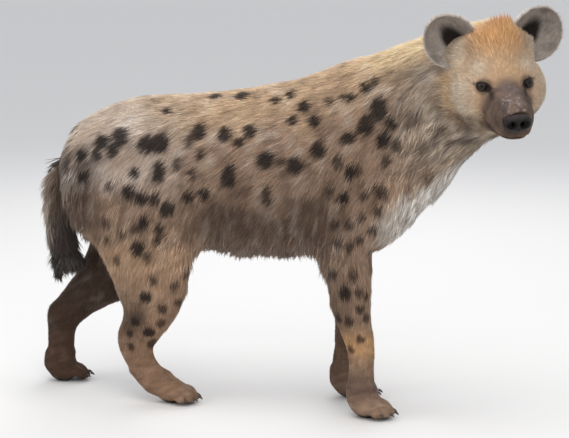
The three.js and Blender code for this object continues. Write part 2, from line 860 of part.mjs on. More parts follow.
function eyeSlit(side) {
  const { length, height, tilt } = EYE_SLIT;
  const shape = new THREE.Shape();
  shape.moveTo(-length / 2, 0);
  shape.bezierCurveTo(-length * 0.28, height * 0.62, length * 0.28, height * 0.74, length / 2, 0);
  shape.bezierCurveTo(length * 0.24, -height * 0.62, -length * 0.28, -height * 0.6, -length / 2, 0);
  const g = new THREE.ExtrudeGeometry(shape, { depth: 50, bevelEnabled: false, curveSegments: 5 });
  g.rotateZ(radians(tilt * side));
  // The drawing's plane is turned to face along +X, with its own X to the animal's left.
  g.applyMatrix4(new THREE.Matrix4().makeBasis(
    new THREE.Vector3(0, 1, 0),
    new THREE.Vector3(0, 0, 1),
    new THREE.Vector3(1, 0, 0),
  ));
  return solidOf(g);
}

// The mouth: a sharp groove along the line where the lips meet

const MOUTH = [
  [12, -82, -50],
  [40, -66, -68],
  [68, -55, -76],
  [96, -44, -81],
  [116, -22, -82],
  [123, 0, -80],
];
const MOUTH_GROOVE = { depth: 8, half: 1.6, stations: 18 };

function groove(points) {
  const curve = new THREE.CatmullRomCurve3(points.map(v3));
  const positions = [];
  const faces = [];
  const last = MOUTH_GROOVE.stations;
  for (let i = 0; i <= last; i++) {
    const at = ontoSurface(headShape, curve.getPoint(i / last));
    const out = slope(headShape, at).normalize();
    const up = curve.getTangent(i / last).cross(out).normalize();
    const taper = Math.min(1, 0.15 + Math.min(i, last - i) / 3);
    const rim = at.clone().addScaledVector(out, 3);
    const half = MOUTH_GROOVE.half * taper;
    positions.push(...rim.clone().addScaledVector(up, half).toArray());
    positions.push(...rim.clone().addScaledVector(up, -half).toArray());
    positions.push(...at.clone().addScaledVector(out, -MOUTH_GROOVE.depth * taper).toArray());
  }
  for (let i = 0; i < last; i++)
    for (let s = 0; s < 3; s++) {
      const n = (s + 1) % 3;
      const [a, b, c, d] = [i * 3 + s, i * 3 + n, i * 3 + 3 + n, i * 3 + 3 + s];
      faces.push(a, b, c, a, c, d);
    }
  faces.push(0, 2, 1, last * 3, last * 3 + 1, last * 3 + 2);
  const made = solid(positions, faces);
  return made.volume() > 0 ? made : solid(positions, faces.reverse());
}

// The nose pad and its nostrils

const nosePad = blendOf(
  [
    mass([130, 0, -50], [18, 27, 14]),
    ...bothSides((s) => mass([130, 16 * s, -56], [17, 13, 14])),
    mass([129, 0, -63], [17, 14, 13]),
  ],
  10,
);

// Each nostril runs in from the front of the pad and leaves through its side.
const NOSTRIL = [
  [158, 9, -57],
  [142, 11, -56],
  [134, 17, -55],
  [131, 27, -51],
  [132, 40, -47],
];
const NOSTRIL_RADII = [4.6, 3.6];

function nostril(side) {
  const path = new THREE.CatmullRomCurve3(NOSTRIL.map((p) => v3(mirrored(p, side))));
  const ring = new THREE.Shape().absellipse(0, 0, ...NOSTRIL_RADII, 0, 2 * Math.PI);
  const g = new THREE.ExtrudeGeometry(ring, { steps: 7, extrudePath: path, curveSegments: 4 });
  return solidOf(g);
}

// Ears: a thin cup, open to the front, on each side of the crown

function earFrame(side) {
  const turn = new THREE.Euler(radians(-EAR_LEAN * side), 0, radians(EAR_TURN * side), "ZYX");
  return new THREE.Matrix4().makeRotationFromEuler(turn).setPosition(...mirrored(EAR_BASE, side));
}

function earCup() {
  const { length, width, depth, wall } = EAR;
  const round = () => new THREE.SphereGeometry(1, 14, 8).rotateX(Math.PI / 2);
  const pointed = (g) => {
    const at = g.attributes.position;
    for (let i = 0; i < at.count; i++) {
      const up = Math.max(at.getZ(i), 0);
      at.setY(i, at.getY(i) * (1 - 0.16 * up * up));
    }
    return g;
  };
  const outer = pointed(round()).scale(depth, width, length).translate(0, 0, length - 16);
  const inner = pointed(round())
    .scale(depth * 1.35, width - wall * 1.3, length - wall * 1.5)
    .translate(depth * 0.35 + wall, 0, length - 14);
  return solidOf(outer).subtract(solidOf(inner));
}

// Head

let head = polygonise(
  bodyField,
  [
    [[-150, -30, 24], [-30, 150, 15]],
    [[-185, 165, 15.5]],
    [[-195, 155, 15.5]],
  ],
  headFrame,
);
head = head.trimByPlane([1, 0, 0], HEAD_SEAM + CUT);

const eyes = [];
for (const [name, side] of [["left", 1], ["right", -1]]) {
  const frame = eyeFrame(side);
  eyes.push({ name, body: ball(EYE.radius).transform(frame.elements) });
  head = head
    .add(ball(EYE.radius + LID).transform(frame.elements))
    .subtract(ball(EYE.radius + GAP).transform(frame.elements))
    .subtract(eyeSlit(side).transform(frame.elements));
}

const noseWhole = polygonise(nosePad, [
  [[98, 160, 8.8]],
  [[-46, 46, 8.8]],
  [[-92, -24, 8.8]],
]);
const nose = noseWhole.subtract(nostril(1)).subtract(nostril(-1));
const mouth = groove([...MOUTH, ...MOUTH.slice(0, -1).reverse().map((p) => mirrored(p, -1))]);
head = head.subtract(mouth).subtract(grown(noseWhole));

const FORELOCK = { length: 38, width: 30, thick: 14, lift: 0.16, droop: 0.1, sink: 8 };
const FORELOCK_COUNT = 6;
const forelockRandom = randomSource(31);
for (let i = 0; i < FORELOCK_COUNT; i++) {
  const y = lerp(-32, 32, i / (FORELOCK_COUNT - 1));
  const x = forelockRandom(-92, -40);
  const root = surfaceBetween(headShape, v3([x, y, 220]), v3([x, y, 0]));
  const normal = slope(headShape, root);
  const lie = new THREE.Vector3(-1, y / 90, 0.9);
  const length = FORELOCK.length * forelockRandom(0.8, 1.15);
  head = head.add(lock({ ...FORELOCK, root, normal, lie, length }));
}
head = head.trimByPlane([1, 0, 0], HEAD_SEAM + CUT);
head = addNode("head", head, "coat", headGroup);
addNode("nose", nose, "nose", headGroup);
for (const { name, body } of eyes) addNode(`eye_${name}`, body, "eye", headGroup);

const neckInHead = carried(grown(neck), toHead);
const clearOfHead = grown(head);
for (const [name, side] of [["left", 1], ["right", -1]]) {
  const ear = earCup().transform(earFrame(side).elements);
  addNode(`ear_${name}`, ear.subtract(clearOfHead).subtract(neckInHead), "ear", headGroup);
}

// Tail: a core out of the rump, clothed in long drooping locks

const TAIL_LOCK = { width: 43, thick: 14, sink: 9, lift: 0.1, droop: 0.02 };
const tailCore = polygonise(tube(TAIL_CORE), [
  [[-610, -420, 18]],
  [[-70, 60, 18.5]],
  [[300, 650, 27]],
]);
const tailPath = new THREE.CatmullRomCurve3([...TAIL_CORE.map(v3), v3(TAIL_TIP)]);
const tailField = tube(TAIL_CORE);
const tailRandom = randomSource(41);
const tailLocks = [];
const TAIL_ROWS = 5;
const TAIL_ROUND = 5;
const TAIL_SPREAD = { first: 0.2, run: 0.6 }; // of the way down the tail
const TAIL_REACH = [74, 108]; // of the top and the bottom locks
for (let row = 0; row < TAIL_ROWS; row++)
  for (let i = 0; i < TAIL_ROUND; i++) {
    const t = TAIL_SPREAD.first + (TAIL_SPREAD.run * (row + tailRandom(-0.3, 0.3))) / TAIL_ROWS;
    const centre = tailPath.getPoint(t);
    const down = tailPath.getTangent(t);
    const angle = (2 * Math.PI * (i + 0.5 * (row % 2) + tailRandom(-0.2, 0.2))) / TAIL_ROUND;
    const outward = new THREE.Vector3(Math.cos(angle), Math.sin(angle), 0);
    outward.addScaledVector(down, -outward.dot(down)).normalize();
    const root = surfaceBetween(tailField, centre.clone().addScaledVector(outward, 90), centre);
    const reach = lerp(...TAIL_REACH, row / (TAIL_ROWS - 1));
    tailLocks.push(
      lock({
        ...TAIL_LOCK,
        root,
        normal: outward,
        lie: down,
        length: reach * tailRandom(0.85, 1.1),
      }),
    );
  }
const brush = union([tailCore, ...tailLocks]);
const tail = [torso, limbs.hind_left_thigh, limbs.hind_left_shank, limbs.hind_right_thigh].reduce(
  (body, neighbour) => body.subtract(grown(neighbour)),
  brush,
);
addNode("tail", tail, "dark");

// The origin goes to the middle of the model's box, on the floor

const box = new THREE.Box3().setFromObject(hyena, true);
const middle = box.getCenter(new THREE.Vector3());
hyena.position.set(-middle.x, -middle.y, 0);

export default hyena;
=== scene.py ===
# A life-size spotted hyena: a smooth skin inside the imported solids, a coat of solid tufts over it,
# and eyes, lids, nose leather and claws of their own. Metres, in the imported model's frame.

import itertools
import math

import bmesh
import bpy
import numpy as np
from mathutils import Euler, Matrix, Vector
from mathutils.bvhtree import BVHTree


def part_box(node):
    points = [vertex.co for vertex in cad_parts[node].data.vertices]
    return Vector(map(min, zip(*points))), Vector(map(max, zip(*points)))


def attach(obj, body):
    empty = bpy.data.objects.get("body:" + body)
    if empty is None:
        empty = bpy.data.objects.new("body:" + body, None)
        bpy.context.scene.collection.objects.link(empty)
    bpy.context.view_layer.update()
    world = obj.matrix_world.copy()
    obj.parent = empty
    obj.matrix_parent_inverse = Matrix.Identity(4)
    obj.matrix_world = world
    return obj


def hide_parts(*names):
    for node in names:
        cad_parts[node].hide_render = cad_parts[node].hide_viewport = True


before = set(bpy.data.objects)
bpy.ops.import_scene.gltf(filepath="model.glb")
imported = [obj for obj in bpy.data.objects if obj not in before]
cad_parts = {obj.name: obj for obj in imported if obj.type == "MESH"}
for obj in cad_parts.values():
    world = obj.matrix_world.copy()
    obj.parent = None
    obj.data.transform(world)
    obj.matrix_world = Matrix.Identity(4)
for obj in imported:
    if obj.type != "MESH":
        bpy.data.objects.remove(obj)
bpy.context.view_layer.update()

# Two frames of the animal's own. The body's has its origin on the floor under the trunk, +X forward
# and +Y left. The head's has its origin between the eyes, and the same axes turned with the head.

HEAD_AT = np.array([0.528, -0.191, 0.757])  # origin of the head's frame, in the body's
HEAD_TURN = Euler([math.radians(a) for a in (4.5, 6, -68)], "XYZ")  # roll, pitch, yaw
EYES_IN_HEAD = np.array([0.0113, 0, 0.0011])  # the middle of the two eyeballs
SIDES = ((1, "left"), (-1, "right"))


def box_centre(node):
    low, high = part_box(node)
    return np.array((low + high) / 2)


TO_WORLD = np.array(HEAD_TURN.to_matrix())  # turns a direction of the head's frame
EYES_MIDDLE = (box_centre("eye_left") + box_centre("eye_right")) / 2
HEAD_ORIGIN = EYES_MIDDLE - TO_WORLD @ EYES_IN_HEAD
BODY_ORIGIN = HEAD_ORIGIN - HEAD_AT

# The camera stands where the photograph's did, in the body's frame.

CAMERA = {"azimuth": 16, "elevation": 9, "distance": 5.0, "target": (0, 0, 0.42), "focal_px": 2225}
PHOTO = (569, 438)  # pixels across and down
SENSOR = 36.0

# Nodes that the skin replaces

FLESH = ["torso", "neck", "head"]
LEGS = ["fore_right", "fore_left", "hind_right", "hind_left"]
for leg in LEGS:
    FLESH += [f"{leg}_thigh", f"{leg}_shank"] if leg.startswith("hind") else [f"{leg}_arm"]
    FLESH.append(f"{leg}_paw")

# Fineness of the remeshed surfaces

SKIN_VOXEL = 0.0064
TAIL_VOXEL = 0.005
EAR_VOXEL = 0.0022
NOSE_VOXEL = 0.0014


# Small tools for arrays of numbers and points


def unit(v):
    return v / np.maximum(np.linalg.norm(v, axis=-1, keepdims=True), 1e-12)


def smooth(low, high, x):
    t = np.clip((x - low) / (high - low), 0, 1)
    return t * t * (3 - 2 * t)


def falls(low, high, x):
    """1 up to `low`, then smoothly down to 0 at `high`."""
    return 1 - smooth(low, high, x)


def bump(x, centre, half):
    return np.exp(-(((x - centre) / half) ** 2))


def between(a, b, share):
    return a * (1 - share) + b * share


def mix(a, b, share):
    """Colours or directions, one a row, moved from a towards b."""
    return between(a, b, np.asarray(share)[..., None])


def away_from(points, place):
    return np.linalg.norm(points - place, axis=1)


def distance_to(line, points):
    d = np.full(len(points), 1.0)
    for at in line:
        d = np.minimum(d, away_from(points, at))
    return d


def to_head(points):
    return (points - HEAD_ORIGIN) @ TO_WORLD


def to_body(points):
    return points - BODY_ORIGIN


def folded(head):
    """The head's points with both halves laid over the left one."""
    return head * [1, 0, 1] + np.abs(head) * [0, 1, 0]


def noise(points, size, seed=0):
    """Smooth value noise from -1 to 1, with waves about `size` metres long."""
    q = points / size
    cell = np.floor(q).astype(np.int64)
    f = q - cell
    f = f * f * (3 - 2 * f)
    total = np.zeros(len(points))
    for corner in itertools.product((0, 1), repeat=3):
        c = cell + corner
        h = c[:, 0] * 73856093 ^ c[:, 1] * 19349663 ^ c[:, 2] * 83492791 ^ (seed * 2654435761)
        h = (h ^ (h >> 13)) * 1274126177 & 0xFFFFFFFF
        value = ((h ^ (h >> 16)) & 0xFFFF) / 32767.5 - 1
        weight = np.prod([f[:, a] if corner[a] else 1 - f[:, a] for a in range(3)], axis=0)
        total += value * weight
    return total


def noises(points, size, seeds):
    """Three noises at right angles, as a direction for each point."""
    return np.stack([noise(points, size, seed) for seed in seeds], 1)


def linear(r, g, b):
    """A colour given in the eye's 0 to 255 scale, as light."""
    c = np.array([r, g, b]) / 255
    return np.where(c <= 0.04045, c / 12.92, ((c + 0.055) / 1.055) ** 2.4)


# Meshes in and out of arrays


def numbers(items, key, width, kind=np.float32):
    """What the items of a mesh hold under `key`, as rows of `width` numbers."""
    rows = np.empty(len(items) * width, kind)
    items.foreach_get(key, rows)
    return rows.reshape(-1, width)


def points_of(obj):
    return numbers(obj.data.vertices, "co", 3).astype(float)


def set_points(obj, points):
    obj.data.vertices.foreach_set("co", points.astype(np.float32).ravel())
    obj.data.update()


def normals_of(obj):
    return numbers(obj.data.vertex_normals, "vector", 3).astype(float)


def tree_of(obj):
    faces = [tuple(p.vertices) for p in obj.data.polygons]
    return BVHTree.FromPolygons([tuple(p) for p in points_of(obj)], faces)


def relax(obj, rounds, share=0.5, weight=None):
    """Evens the surface out, as far as `weight` lets each point move."""
    co, e = points_of(obj), numbers(obj.data.edges, "vertices", 2, np.int32)
    count = len(co)
    ends = np.concatenate([e[:, 0], e[:, 1]])
    others = np.concatenate([e[:, 1], e[:, 0]])
    degree = np.maximum(np.bincount(ends, minlength=count), 1)
    move = share * (np.ones(count) if weight is None else weight)
    for _ in range(rounds):
        mean = np.stack([np.bincount(ends, co[others, a], count) / degree for a in range(3)], 1)
        co += (mean - co) * move[:, None]
    set_points(obj, co)


def new_object(name, mesh):
    obj = bpy.data.objects.new(name, mesh)
    bpy.context.scene.collection.objects.link(obj)
    return obj


def only(obj):
    """Makes this the one selected and active object."""
    bpy.ops.object.select_all(action="DESELECT")
    obj.hide_set(False)
    obj.select_set(True)
    bpy.context.view_layer.objects.active = obj


def apply(obj, kind, **settings):
    only(obj)
    modifier = obj.modifiers.new(kind, kind)
    for key, value in settings.items():
        setattr(modifier, key, value)
    bpy.ops.object.modifier_apply(modifier=modifier.name)


def copy_of_nodes(nodes, name, grow=0.0):
    """One mesh of the nodes' merged copies, each swollen a little so that they run together."""
    bm = bmesh.new()
    for node in nodes:
        part = bmesh.new()
        part.from_mesh(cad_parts[node].data)
        bmesh.ops.remove_doubles(part, verts=part.verts, dist=1e-5)
        part.normal_update()
        for v in part.verts:
            v.co += v.normal * grow
        made = bpy.data.meshes.new(node)
        part.to_mesh(made)
        part.free()
        bm.from_mesh(made)
        bpy.data.meshes.remove(made)
    mesh = bpy.data.meshes.new(name)
    bm.to_mesh(mesh)
    bm.free()
    return new_object(name, mesh)


def shade_smooth(obj):
    obj.data.polygons.foreach_set("use_smooth", [True] * len(obj.data.polygons))


def paint(mesh, colours):
    layer = mesh.attributes.new("Coat", "FLOAT_COLOR", "POINT")
    rgba = np.ones((len(colours), 4), np.float32)
    rgba[:, :3] = np.clip(colours, 0, 1)
    layer.data.foreach_set("color", rgba.ravel())


def unwrap(obj):
    only(obj)
    bpy.ops.object.mode_set(mode="EDIT")
    bpy.ops.mesh.select_all(action="SELECT")
    bpy.ops.uv.smart_project(angle_limit=math.radians(66), island_margin=0.002)
    bpy.ops.object.mode_set(mode="OBJECT")
    obj.data.uv_layers[0].name = "OFBake"


def keep(obj, material, replaced=()):
    """Hands a finished piece over to the frame."""
    obj.data.materials.clear()
    obj.data.materials.append(material)
    if replaced:
        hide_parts(*replaced)
    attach(obj, "root")


def refine(obj, near):
    """Halves the faces whose corners are all near."""
    bm = bmesh.new()
    bm.from_mesh(obj.data)
    marked = near(points_of(obj))
    bm.verts.ensure_lookup_table()
    edges = [e for e in bm.edges if marked[e.verts[0].index] and marked[e.verts[1].index]]
    bmesh.ops.subdivide_edges(bm, edges=edges, cuts=1, use_grid_fill=True)
    bm.to_mesh(obj.data)
    bm.free()
    relax(obj, 2, 0.5, near(points_of(obj)).astype(float))


bpy.ops.object.select_all(action="DESELECT")


# Camera, floor and light

azimuth, elevation = math.radians(CAMERA["azimuth"]), math.radians(CAMERA["elevation"])
LEVEL = math.cos(elevation)
BACK = np.array([math.sin(azimuth) * LEVEL, -math.cos(azimuth) * LEVEL, math.sin(elevation)])
LENS_AT = BODY_ORIGIN + np.array(CAMERA["target"]) + BACK * CAMERA["distance"]


def aim(obj, place, direction):
    obj.location = place
    obj.rotation_mode = "QUATERNION"
    obj.rotation_quaternion = Vector(direction).to_track_quat("-Z", "Y")


def make_camera():
    data = bpy.data.cameras.new("camera")
    data.sensor_width = SENSOR
    data.lens = SENSOR * CAMERA["focal_px"] / PHOTO[0]
    camera = new_object("camera", data)
    aim(camera, LENS_AT, -BACK)
    bpy.context.scene.camera = camera


def photo_ray(x, y):
    """The direction from the lens through a pixel of the photograph."""
    forward = -BACK
    right = unit(np.cross(forward, [0, 0, 1]))
    up = np.cross(right, forward)
    across, down = x - PHOTO[0] / 2, y - PHOTO[1] / 2
    return unit(forward * CAMERA["focal_px"] + right * across - up * down)


def area_light(name, place, target, size, power, colour=(1, 1, 1)):
    data = bpy.data.lights.new(name, "AREA")
    data.shape = "DISK"
    data.size = size
    data.energy = power
    data.color = colour
    aim(new_object(name, data), place, Vector(target) - Vector(place))


def make_studio():
    bpy.ops.mesh.primitive_plane_add(size=80, location=(0, 0, 0))
    floor = bpy.context.object
    floor.name = "studio_floor"
    finish = Finish("pale_floor")
    finish.surface(Base_Color=(0.83, 0.82, 0.8, 1), Roughness=0.75)
    floor.data.materials.append(finish.material)
    world = bpy.data.worlds.new("studio")
    world.use_nodes = True
    world.node_tree.nodes["Background"].inputs["Color"].default_value = (0.93, 0.95, 1, 1)
    world.node_tree.nodes["Background"].inputs["Strength"].default_value = 0.72
    bpy.context.scene.world = world
    area_light("sky", (-0.1, -0.5, 3.4), (0, 0, 0.5), 2.8, 45, (1, 0.98, 0.95))
    area_light("key", (1.0, -2.8, 2.6), (0, 0, 0.4), 2.2, 26, (1, 0.97, 0.93))
    area_light("fill", (-3.0, -2.2, 1.8), (0, 0, 0.4), 2.6, 20, (0.93, 0.96, 1))
    area_light("glint", (0.9, -3.3, 2.1), (0.5, -0.2, 0.75), 0.22, 5)
    area_light("rim", (-0.6, 3.0, 2.6), (0, 0, 0.5), 2.2, 30)
    bpy.context.scene.view_settings.view_transform = "Standard"


# Shader maths


class Socket:
    """Wraps an output socket, so that node maths reads as plain maths."""

    def __init__(self, finish, link):
        self.finish, self.link = finish, link

    def combine(self, operation, *values):
        node = self.finish.node("ShaderNodeMath", {"operation": operation}, dict(enumerate(values)))
        return Socket(self.finish, node.outputs[0])

    def __add__(self, other):
        return self.combine("ADD", self, other)

    __radd__ = __add__

    def __mul__(self, other):
        return self.combine("MULTIPLY", self, other)

    __rmul__ = __mul__

    def __sub__(self, other):
        return self.combine("SUBTRACT", self, other)

    def __rsub__(self, other):
        return self.combine("SUBTRACT", other, self)

    def clamp(self, low, high):
        return self.combine("MINIMUM", self.combine("MAXIMUM", self, low), high)


class Finish:
    """One material, built node by node."""

    def __init__(self, name):
        self.material = bpy.data.materials.new(name)
        self.material.use_nodes = True
        self.tree = self.material.node_tree
        self.shader = self.tree.nodes["Principled BSDF"]

    def node(self, kind, settings=None, values=None):
        node = self.tree.nodes.new(kind)
        for key, value in (settings or {}).items():
            if key == "stops":
                ramp = node.color_ramp.elements
                while len(ramp) < len(value):
                    ramp.new(0.5)
                for element, (place, colour) in zip(ramp, value):
                    element.position, element.color = place, (*colour, 1)
            else:
                setattr(node, key, value)
        for key, value in (values or {}).items():
            self.join(node.inputs[key], value)
        return node

    def join(self, socket, value):
        if isinstance(value, Socket):
            value = value.link
        if isinstance(value, bpy.types.NodeSocket):
            self.tree.links.new(value, socket)
        else:
            socket.default_value = value

    def value(self, kind, output, settings=None, values=None):
        return Socket(self, self.node(kind, settings, values).outputs[output])

    def place(self):
        return self.value("ShaderNodeTexCoord", "Object")

    def scaled(self, scale):
        return self.value("ShaderNodeMapping", "Vector", None, {"Vector": self.place(), "Scale": scale})

    def noise(self, scale, detail=2.0, vector=None, roughness=0.5):
        values = {"Scale": scale, "Detail": detail, "Roughness": roughness}
        values["Vector"] = self.place() if vector is None else vector
        return self.value("ShaderNodeTexNoise", "Fac", None, values)

    def attribute(self, name, output="Color"):
        return self.value("ShaderNodeAttribute", output, {"attribute_name": name})

    def blend(self, share, a, b, mode="MIX"):
        node = self.node("ShaderNodeMix", {"data_type": "RGBA", "blend_type": mode})
        for key, value in (("Factor_Float", share), ("A_Color", a), ("B_Color", b)):
            self.join(next(s for s in node.inputs if s.identifier == key), value)
        return Socket(self, next(s for s in node.outputs if s.identifier == "Result_Color"))

    def toned(self, tone):
        """The piece's painted colour, made lighter and darker by a tone near 1."""
        channels = dict.fromkeys(("Red", "Green", "Blue"), tone)
        grey = self.value("ShaderNodeCombineColor", "Color", None, channels)
        return self.blend(1.0, self.attribute("Coat"), grey, "MULTIPLY")

    def bumped(self, height, strength, distance):
        values = {"Height": height, "Strength": strength, "Distance": distance}
        return self.value("ShaderNodeBump", "Normal", None, values)

    def surface(self, **values):
        for key, value in values.items():
            self.join(self.shader.inputs[key.replace("_", " ")], value)
        return self.material


# Finishes


def coat_finish():
    """Hair with a fine change of tone from strand to strand and a soft sheen."""
    f = Finish("spotted_coat")
    colour = f.toned(f.noise(1400, 2.0) * 0.36 + 0.82)
    f.surface(Base_Color=colour, Roughness=0.68, Specular_IOR_Level=0.22)
    return f.surface(Sheen_Weight=0.18, Sheen_Roughness=0.45, Sheen_Tint=(1.0, 0.93, 0.84, 1))


def skin_finish():
    """Under fur: the coat's markings, with fine fur grain in relief."""
    f = Finish("under_fur")
    grain = f.noise(900, 3.0, roughness=0.65)
    f.surface(Base_Color=f.toned(grain * 0.7 + 0.6), Roughness=0.8, Specular_IOR_Level=0.15)
    return f.surface(Normal=f.bumped(grain, 0.6, 0.0012))


def eye_finish():
    """Dark and glossy, from the pupil out through a brown iris to the dark edge of the white."""
    f = Finish("eye_gloss")
    ring = f.attribute("Ring", "Fac")
    fleck = f.noise(700, 2.0)
    stops = [
        (0.0, (0.002, 0.002, 0.002)), (0.26, (0.003, 0.002, 0.002)), (0.33, (0.02, 0.009, 0.004)),
        (0.58, (0.013, 0.006, 0.003)), (0.68, (0.004, 0.003, 0.002)), (1.0, (0.012, 0.008, 0.007)),
    ]
    ramp = f.node("ShaderNodeValToRGB", {"stops": stops}, {"Fac": ring + (fleck - 0.5) * 0.05})
    return f.surface(Base_Color=ramp.outputs["Color"], Roughness=0.03, Specular_IOR_Level=0.3)


def leather_finish():
    """The nose's moist, pebbled skin."""
    f = Finish("nose_leather")
    values = {"Vector": f.place(), "Scale": 620}
    pebble = f.value("ShaderNodeTexVoronoi", "Distance", {"feature": "DISTANCE_TO_EDGE"}, values)
    wet = f.noise(120, 2.0)
    colour = f.toned((pebble * 4).clamp(0, 1) * 0.5 + 0.5)
    f.surface(Base_Color=colour, Roughness=wet * 0.25 + 0.4, Specular_IOR_Level=0.2)
    return f.surface(Normal=f.bumped((pebble * 6).clamp(0, 1), 0.45, 0.0006))


def claw_finish():
    f = Finish("claw_horn")
    streak = f.noise(1.0, 3.0, f.scaled((260, 260, 900)))
    colour = f.blend(streak, (0.018, 0.012, 0.009, 1), (0.085, 0.062, 0.043, 1))
    return f.surface(Base_Color=colour, Roughness=streak * 0.2 + 0.3, Normal=f.bumped(streak, 0.25, 0.0004))


# Places on the animal, in the body's frame and, for the face, in the head's

# The back and the belly in side view: x, and z at each
BACK_LINE = (
    [-0.46, -0.40, -0.31, -0.20, -0.08, 0.04, 0.17, 0.30, 0.45],
    [0.60, 0.655, 0.695, 0.704, 0.717, 0.739, 0.771, 0.815, 0.86],
)
BELLY_LINE = ([-0.46, -0.30, -0.20, -0.08, 0.04, 0.20, 0.30], [0.43, 0.38, 0.36, 0.34, 0.34, 0.38, 0.46])
CHEST_LINE = ([0.33, 0.43, 0.485, 0.55, 0.59, 0.65], [0.23, 0.25, 0.285, 0.37, 0.44, 0.55])  # z, x
TAIL_LINE = [
    (-0.462, 0.580), (-0.502, 0.546), (-0.526, 0.496), (-0.533, 0.440), (-0.528, 0.385), (-0.500, 0.280),
]
TAIL_HAIR = ([0.3, 0.36, 0.42, 0.56], [0.036, 0.058, 0.07, 0.045])  # z, length of hair

NOSE_TIP = np.array([0.145, 0, -0.045])  # the face's hair fans out from here
NOSTRIL_AT = np.array([0.148, 0.0125, -0.0565])
EYE_AT = np.array([0.0245, 0.046, 0.002])  # middle of the left eye's opening
TEAR_LINE = np.linspace([0.034, 0.034, -0.004], [0.06, 0.03, -0.02], 8)
INNER_CORNER = np.linspace([0.034, 0.034, 0.0], [0.046, 0.024, -0.004], 6)
OUTER_CORNER = np.linspace([0.018, 0.058, 0.004], [0.008, 0.066, 0.008], 5)
MUZZLE_FOLD = np.linspace([0.018, 0.05, -0.012], [0.004, 0.078, -0.05], 12)
MOUTH = np.array(
    [[24, 71, -67], [44, 62, -80], [66, 55, -90], [94, 44, -97], [114, 22, -98], [120, 0, -95]]
) / 1000  # the line of the lips on the left side
MOUTH_STEPS = 10
EAR_BASE = np.array([-0.086, 0.064, 0.045])  # of the left ear, like those below
EAR_FOOT = np.array([-0.086, 0.064, 0.03])  # the ear's hair fans out from here
EAR_ROOT = np.array([-0.083, 0.067, 0.04])  # the head's hair is short before it and long behind
BELOW_EAR = np.array([-0.055, 0.066, 0.052])
EAR_LEAN = 38  # outwards from upright, degrees
EAR_TURN = 8  # opening turned outwards, degrees
EAR_CUP = {"depth": 0.030, "width": 0.057, "length": 0.062, "wall": 0.004}  # half sizes, as in the CAD part


def height_share(points):
    """0 at the belly's line and 1 at the back's."""
    x, _, z = to_body(points).T
    belly = np.interp(x, *BELLY_LINE)
    return (z - belly) / (np.interp(x, *BACK_LINE) - belly)


def nape_share(points):
    return smooth(0.12, 0.3, to_body(points)[:, 0]) * smooth(0.8, 1.0, height_share(points))


def head_share(points):
    """1 on the head, 0 on neck and trunk."""
    head = to_head(points)
    near = falls(0.21, 0.25, np.linalg.norm(head, axis=1))
    return smooth(-0.135, -0.085, head[:, 0] - 0.25 * np.maximum(-head[:, 2] - 0.03, 0)) * near


lips_on_skin = []  # the left half of the mouth's line, once it is laid on the skin


def mouth_line():
    """Points close together along the left half of the mouth."""
    if lips_on_skin:
        return lips_on_skin[0]
    stretch = [np.linspace(a, b, MOUTH_STEPS, endpoint=False) for a, b in zip(MOUTH, MOUTH[1:])]
    return np.concatenate([*stretch, MOUTH[-1:]])


def lay_lips(obj):
    tree = tree_of(obj)
    line = [tree.find_nearest(Vector(HEAD_ORIGIN + TO_WORLD @ p))[0] for p in mouth_line()]
    lips_on_skin.append(folded(to_head(np.array(line))))


def lip_reach(head):
    """Distance to the mouth's line, counted as more towards its corner, where the lips are thin."""
    line = mouth_line()
    grown = np.interp(np.arange(len(line)), [0, 0.35 * len(line)], [0.4, 1.0])
    reach = np.full(len(head), 1.0)
    for at, share in zip(line[::2], grown[::2]):
        reach = np.minimum(reach, away_from(head, at) / share)
    return reach


def opening_reach(head):
    """Distance from the middle of the eye's opening, stretched to the slit's shape."""
    d = head - EYE_AT
    along = d[:, 1] * 0.97 + d[:, 2] * 0.25
    over = d[:, 2] * 0.97 - d[:, 1] * 0.25
    return np.sqrt((d[:, 0] * 0.8) ** 2 + (along / 1.2) ** 2 + (over / 0.62) ** 2)


# The skin: one closed surface through all the nodes of flesh, under the coat

# How far the skin lies inside the solids, which reach out to the tips of the coat
DEPTH = {"trunk": 0.0075, "legs": 0.0045, "nape": -0.005, "paws": 0.0028, "head": 0.0095, "face": 0.0036}
MORE_DEPTH = {"belly": 0.005, "muzzle": -0.0022, "below_ear": 0.012}  # added to the others
TOE_DEPTH = 0.0012

# Boxes round the solids' locks of long hair, in the body's frame; the skin runs under them.
LOCK_PLACES = [
    ((-0.30, -0.20, 0.28), (0.16, 0.20, 0.435)),  # fringe of the belly
    ((0.02, -0.14, 0.745), (0.47, 0.09, 0.96)),  # crest of the nape
]


def inside_box(points, low, high, fade=0.02):
    inside = np.ones(len(points))
    for a in range(3):
        inside *= smooth(low[a] - fade, low[a], points[:, a])
        inside *= 1 - smooth(high[a], high[a] + fade, points[:, a])
    return inside


def coat_depth(points):
    """How far the skin lies inside the solids at each point."""
    head = to_head(points)
    x, _, z = to_body(points).T
    depth = DEPTH["trunk"] + MORE_DEPTH["belly"] * falls(0.0, 0.05, z - np.interp(x, *BELLY_LINE))
    depth = between(depth, DEPTH["legs"], falls(0.24, 0.42, z))
    nape = smooth(0.0, 0.05, z - np.interp(x, *BACK_LINE) + 0.07) * smooth(0.08, 0.2, x)
    depth = between(depth, DEPTH["nape"], nape)
    depth = between(depth, DEPTH["paws"], falls(0.05, 0.13, z))
    on_head = smooth(-0.16, -0.09, head[:, 0]) * (x > 0.3) * (z > 0.55)
    head_depth = between(DEPTH["head"], DEPTH["face"], smooth(-0.08, 0.0, head[:, 0]))
    head_depth += MORE_DEPTH["muzzle"] * smooth(0.085, 0.115, head[:, 0])
    head_depth += MORE_DEPTH["below_ear"] * falls(0.0, 0.042, away_from(folded(head), BELOW_EAR))
    return between(depth, head_depth, on_head)


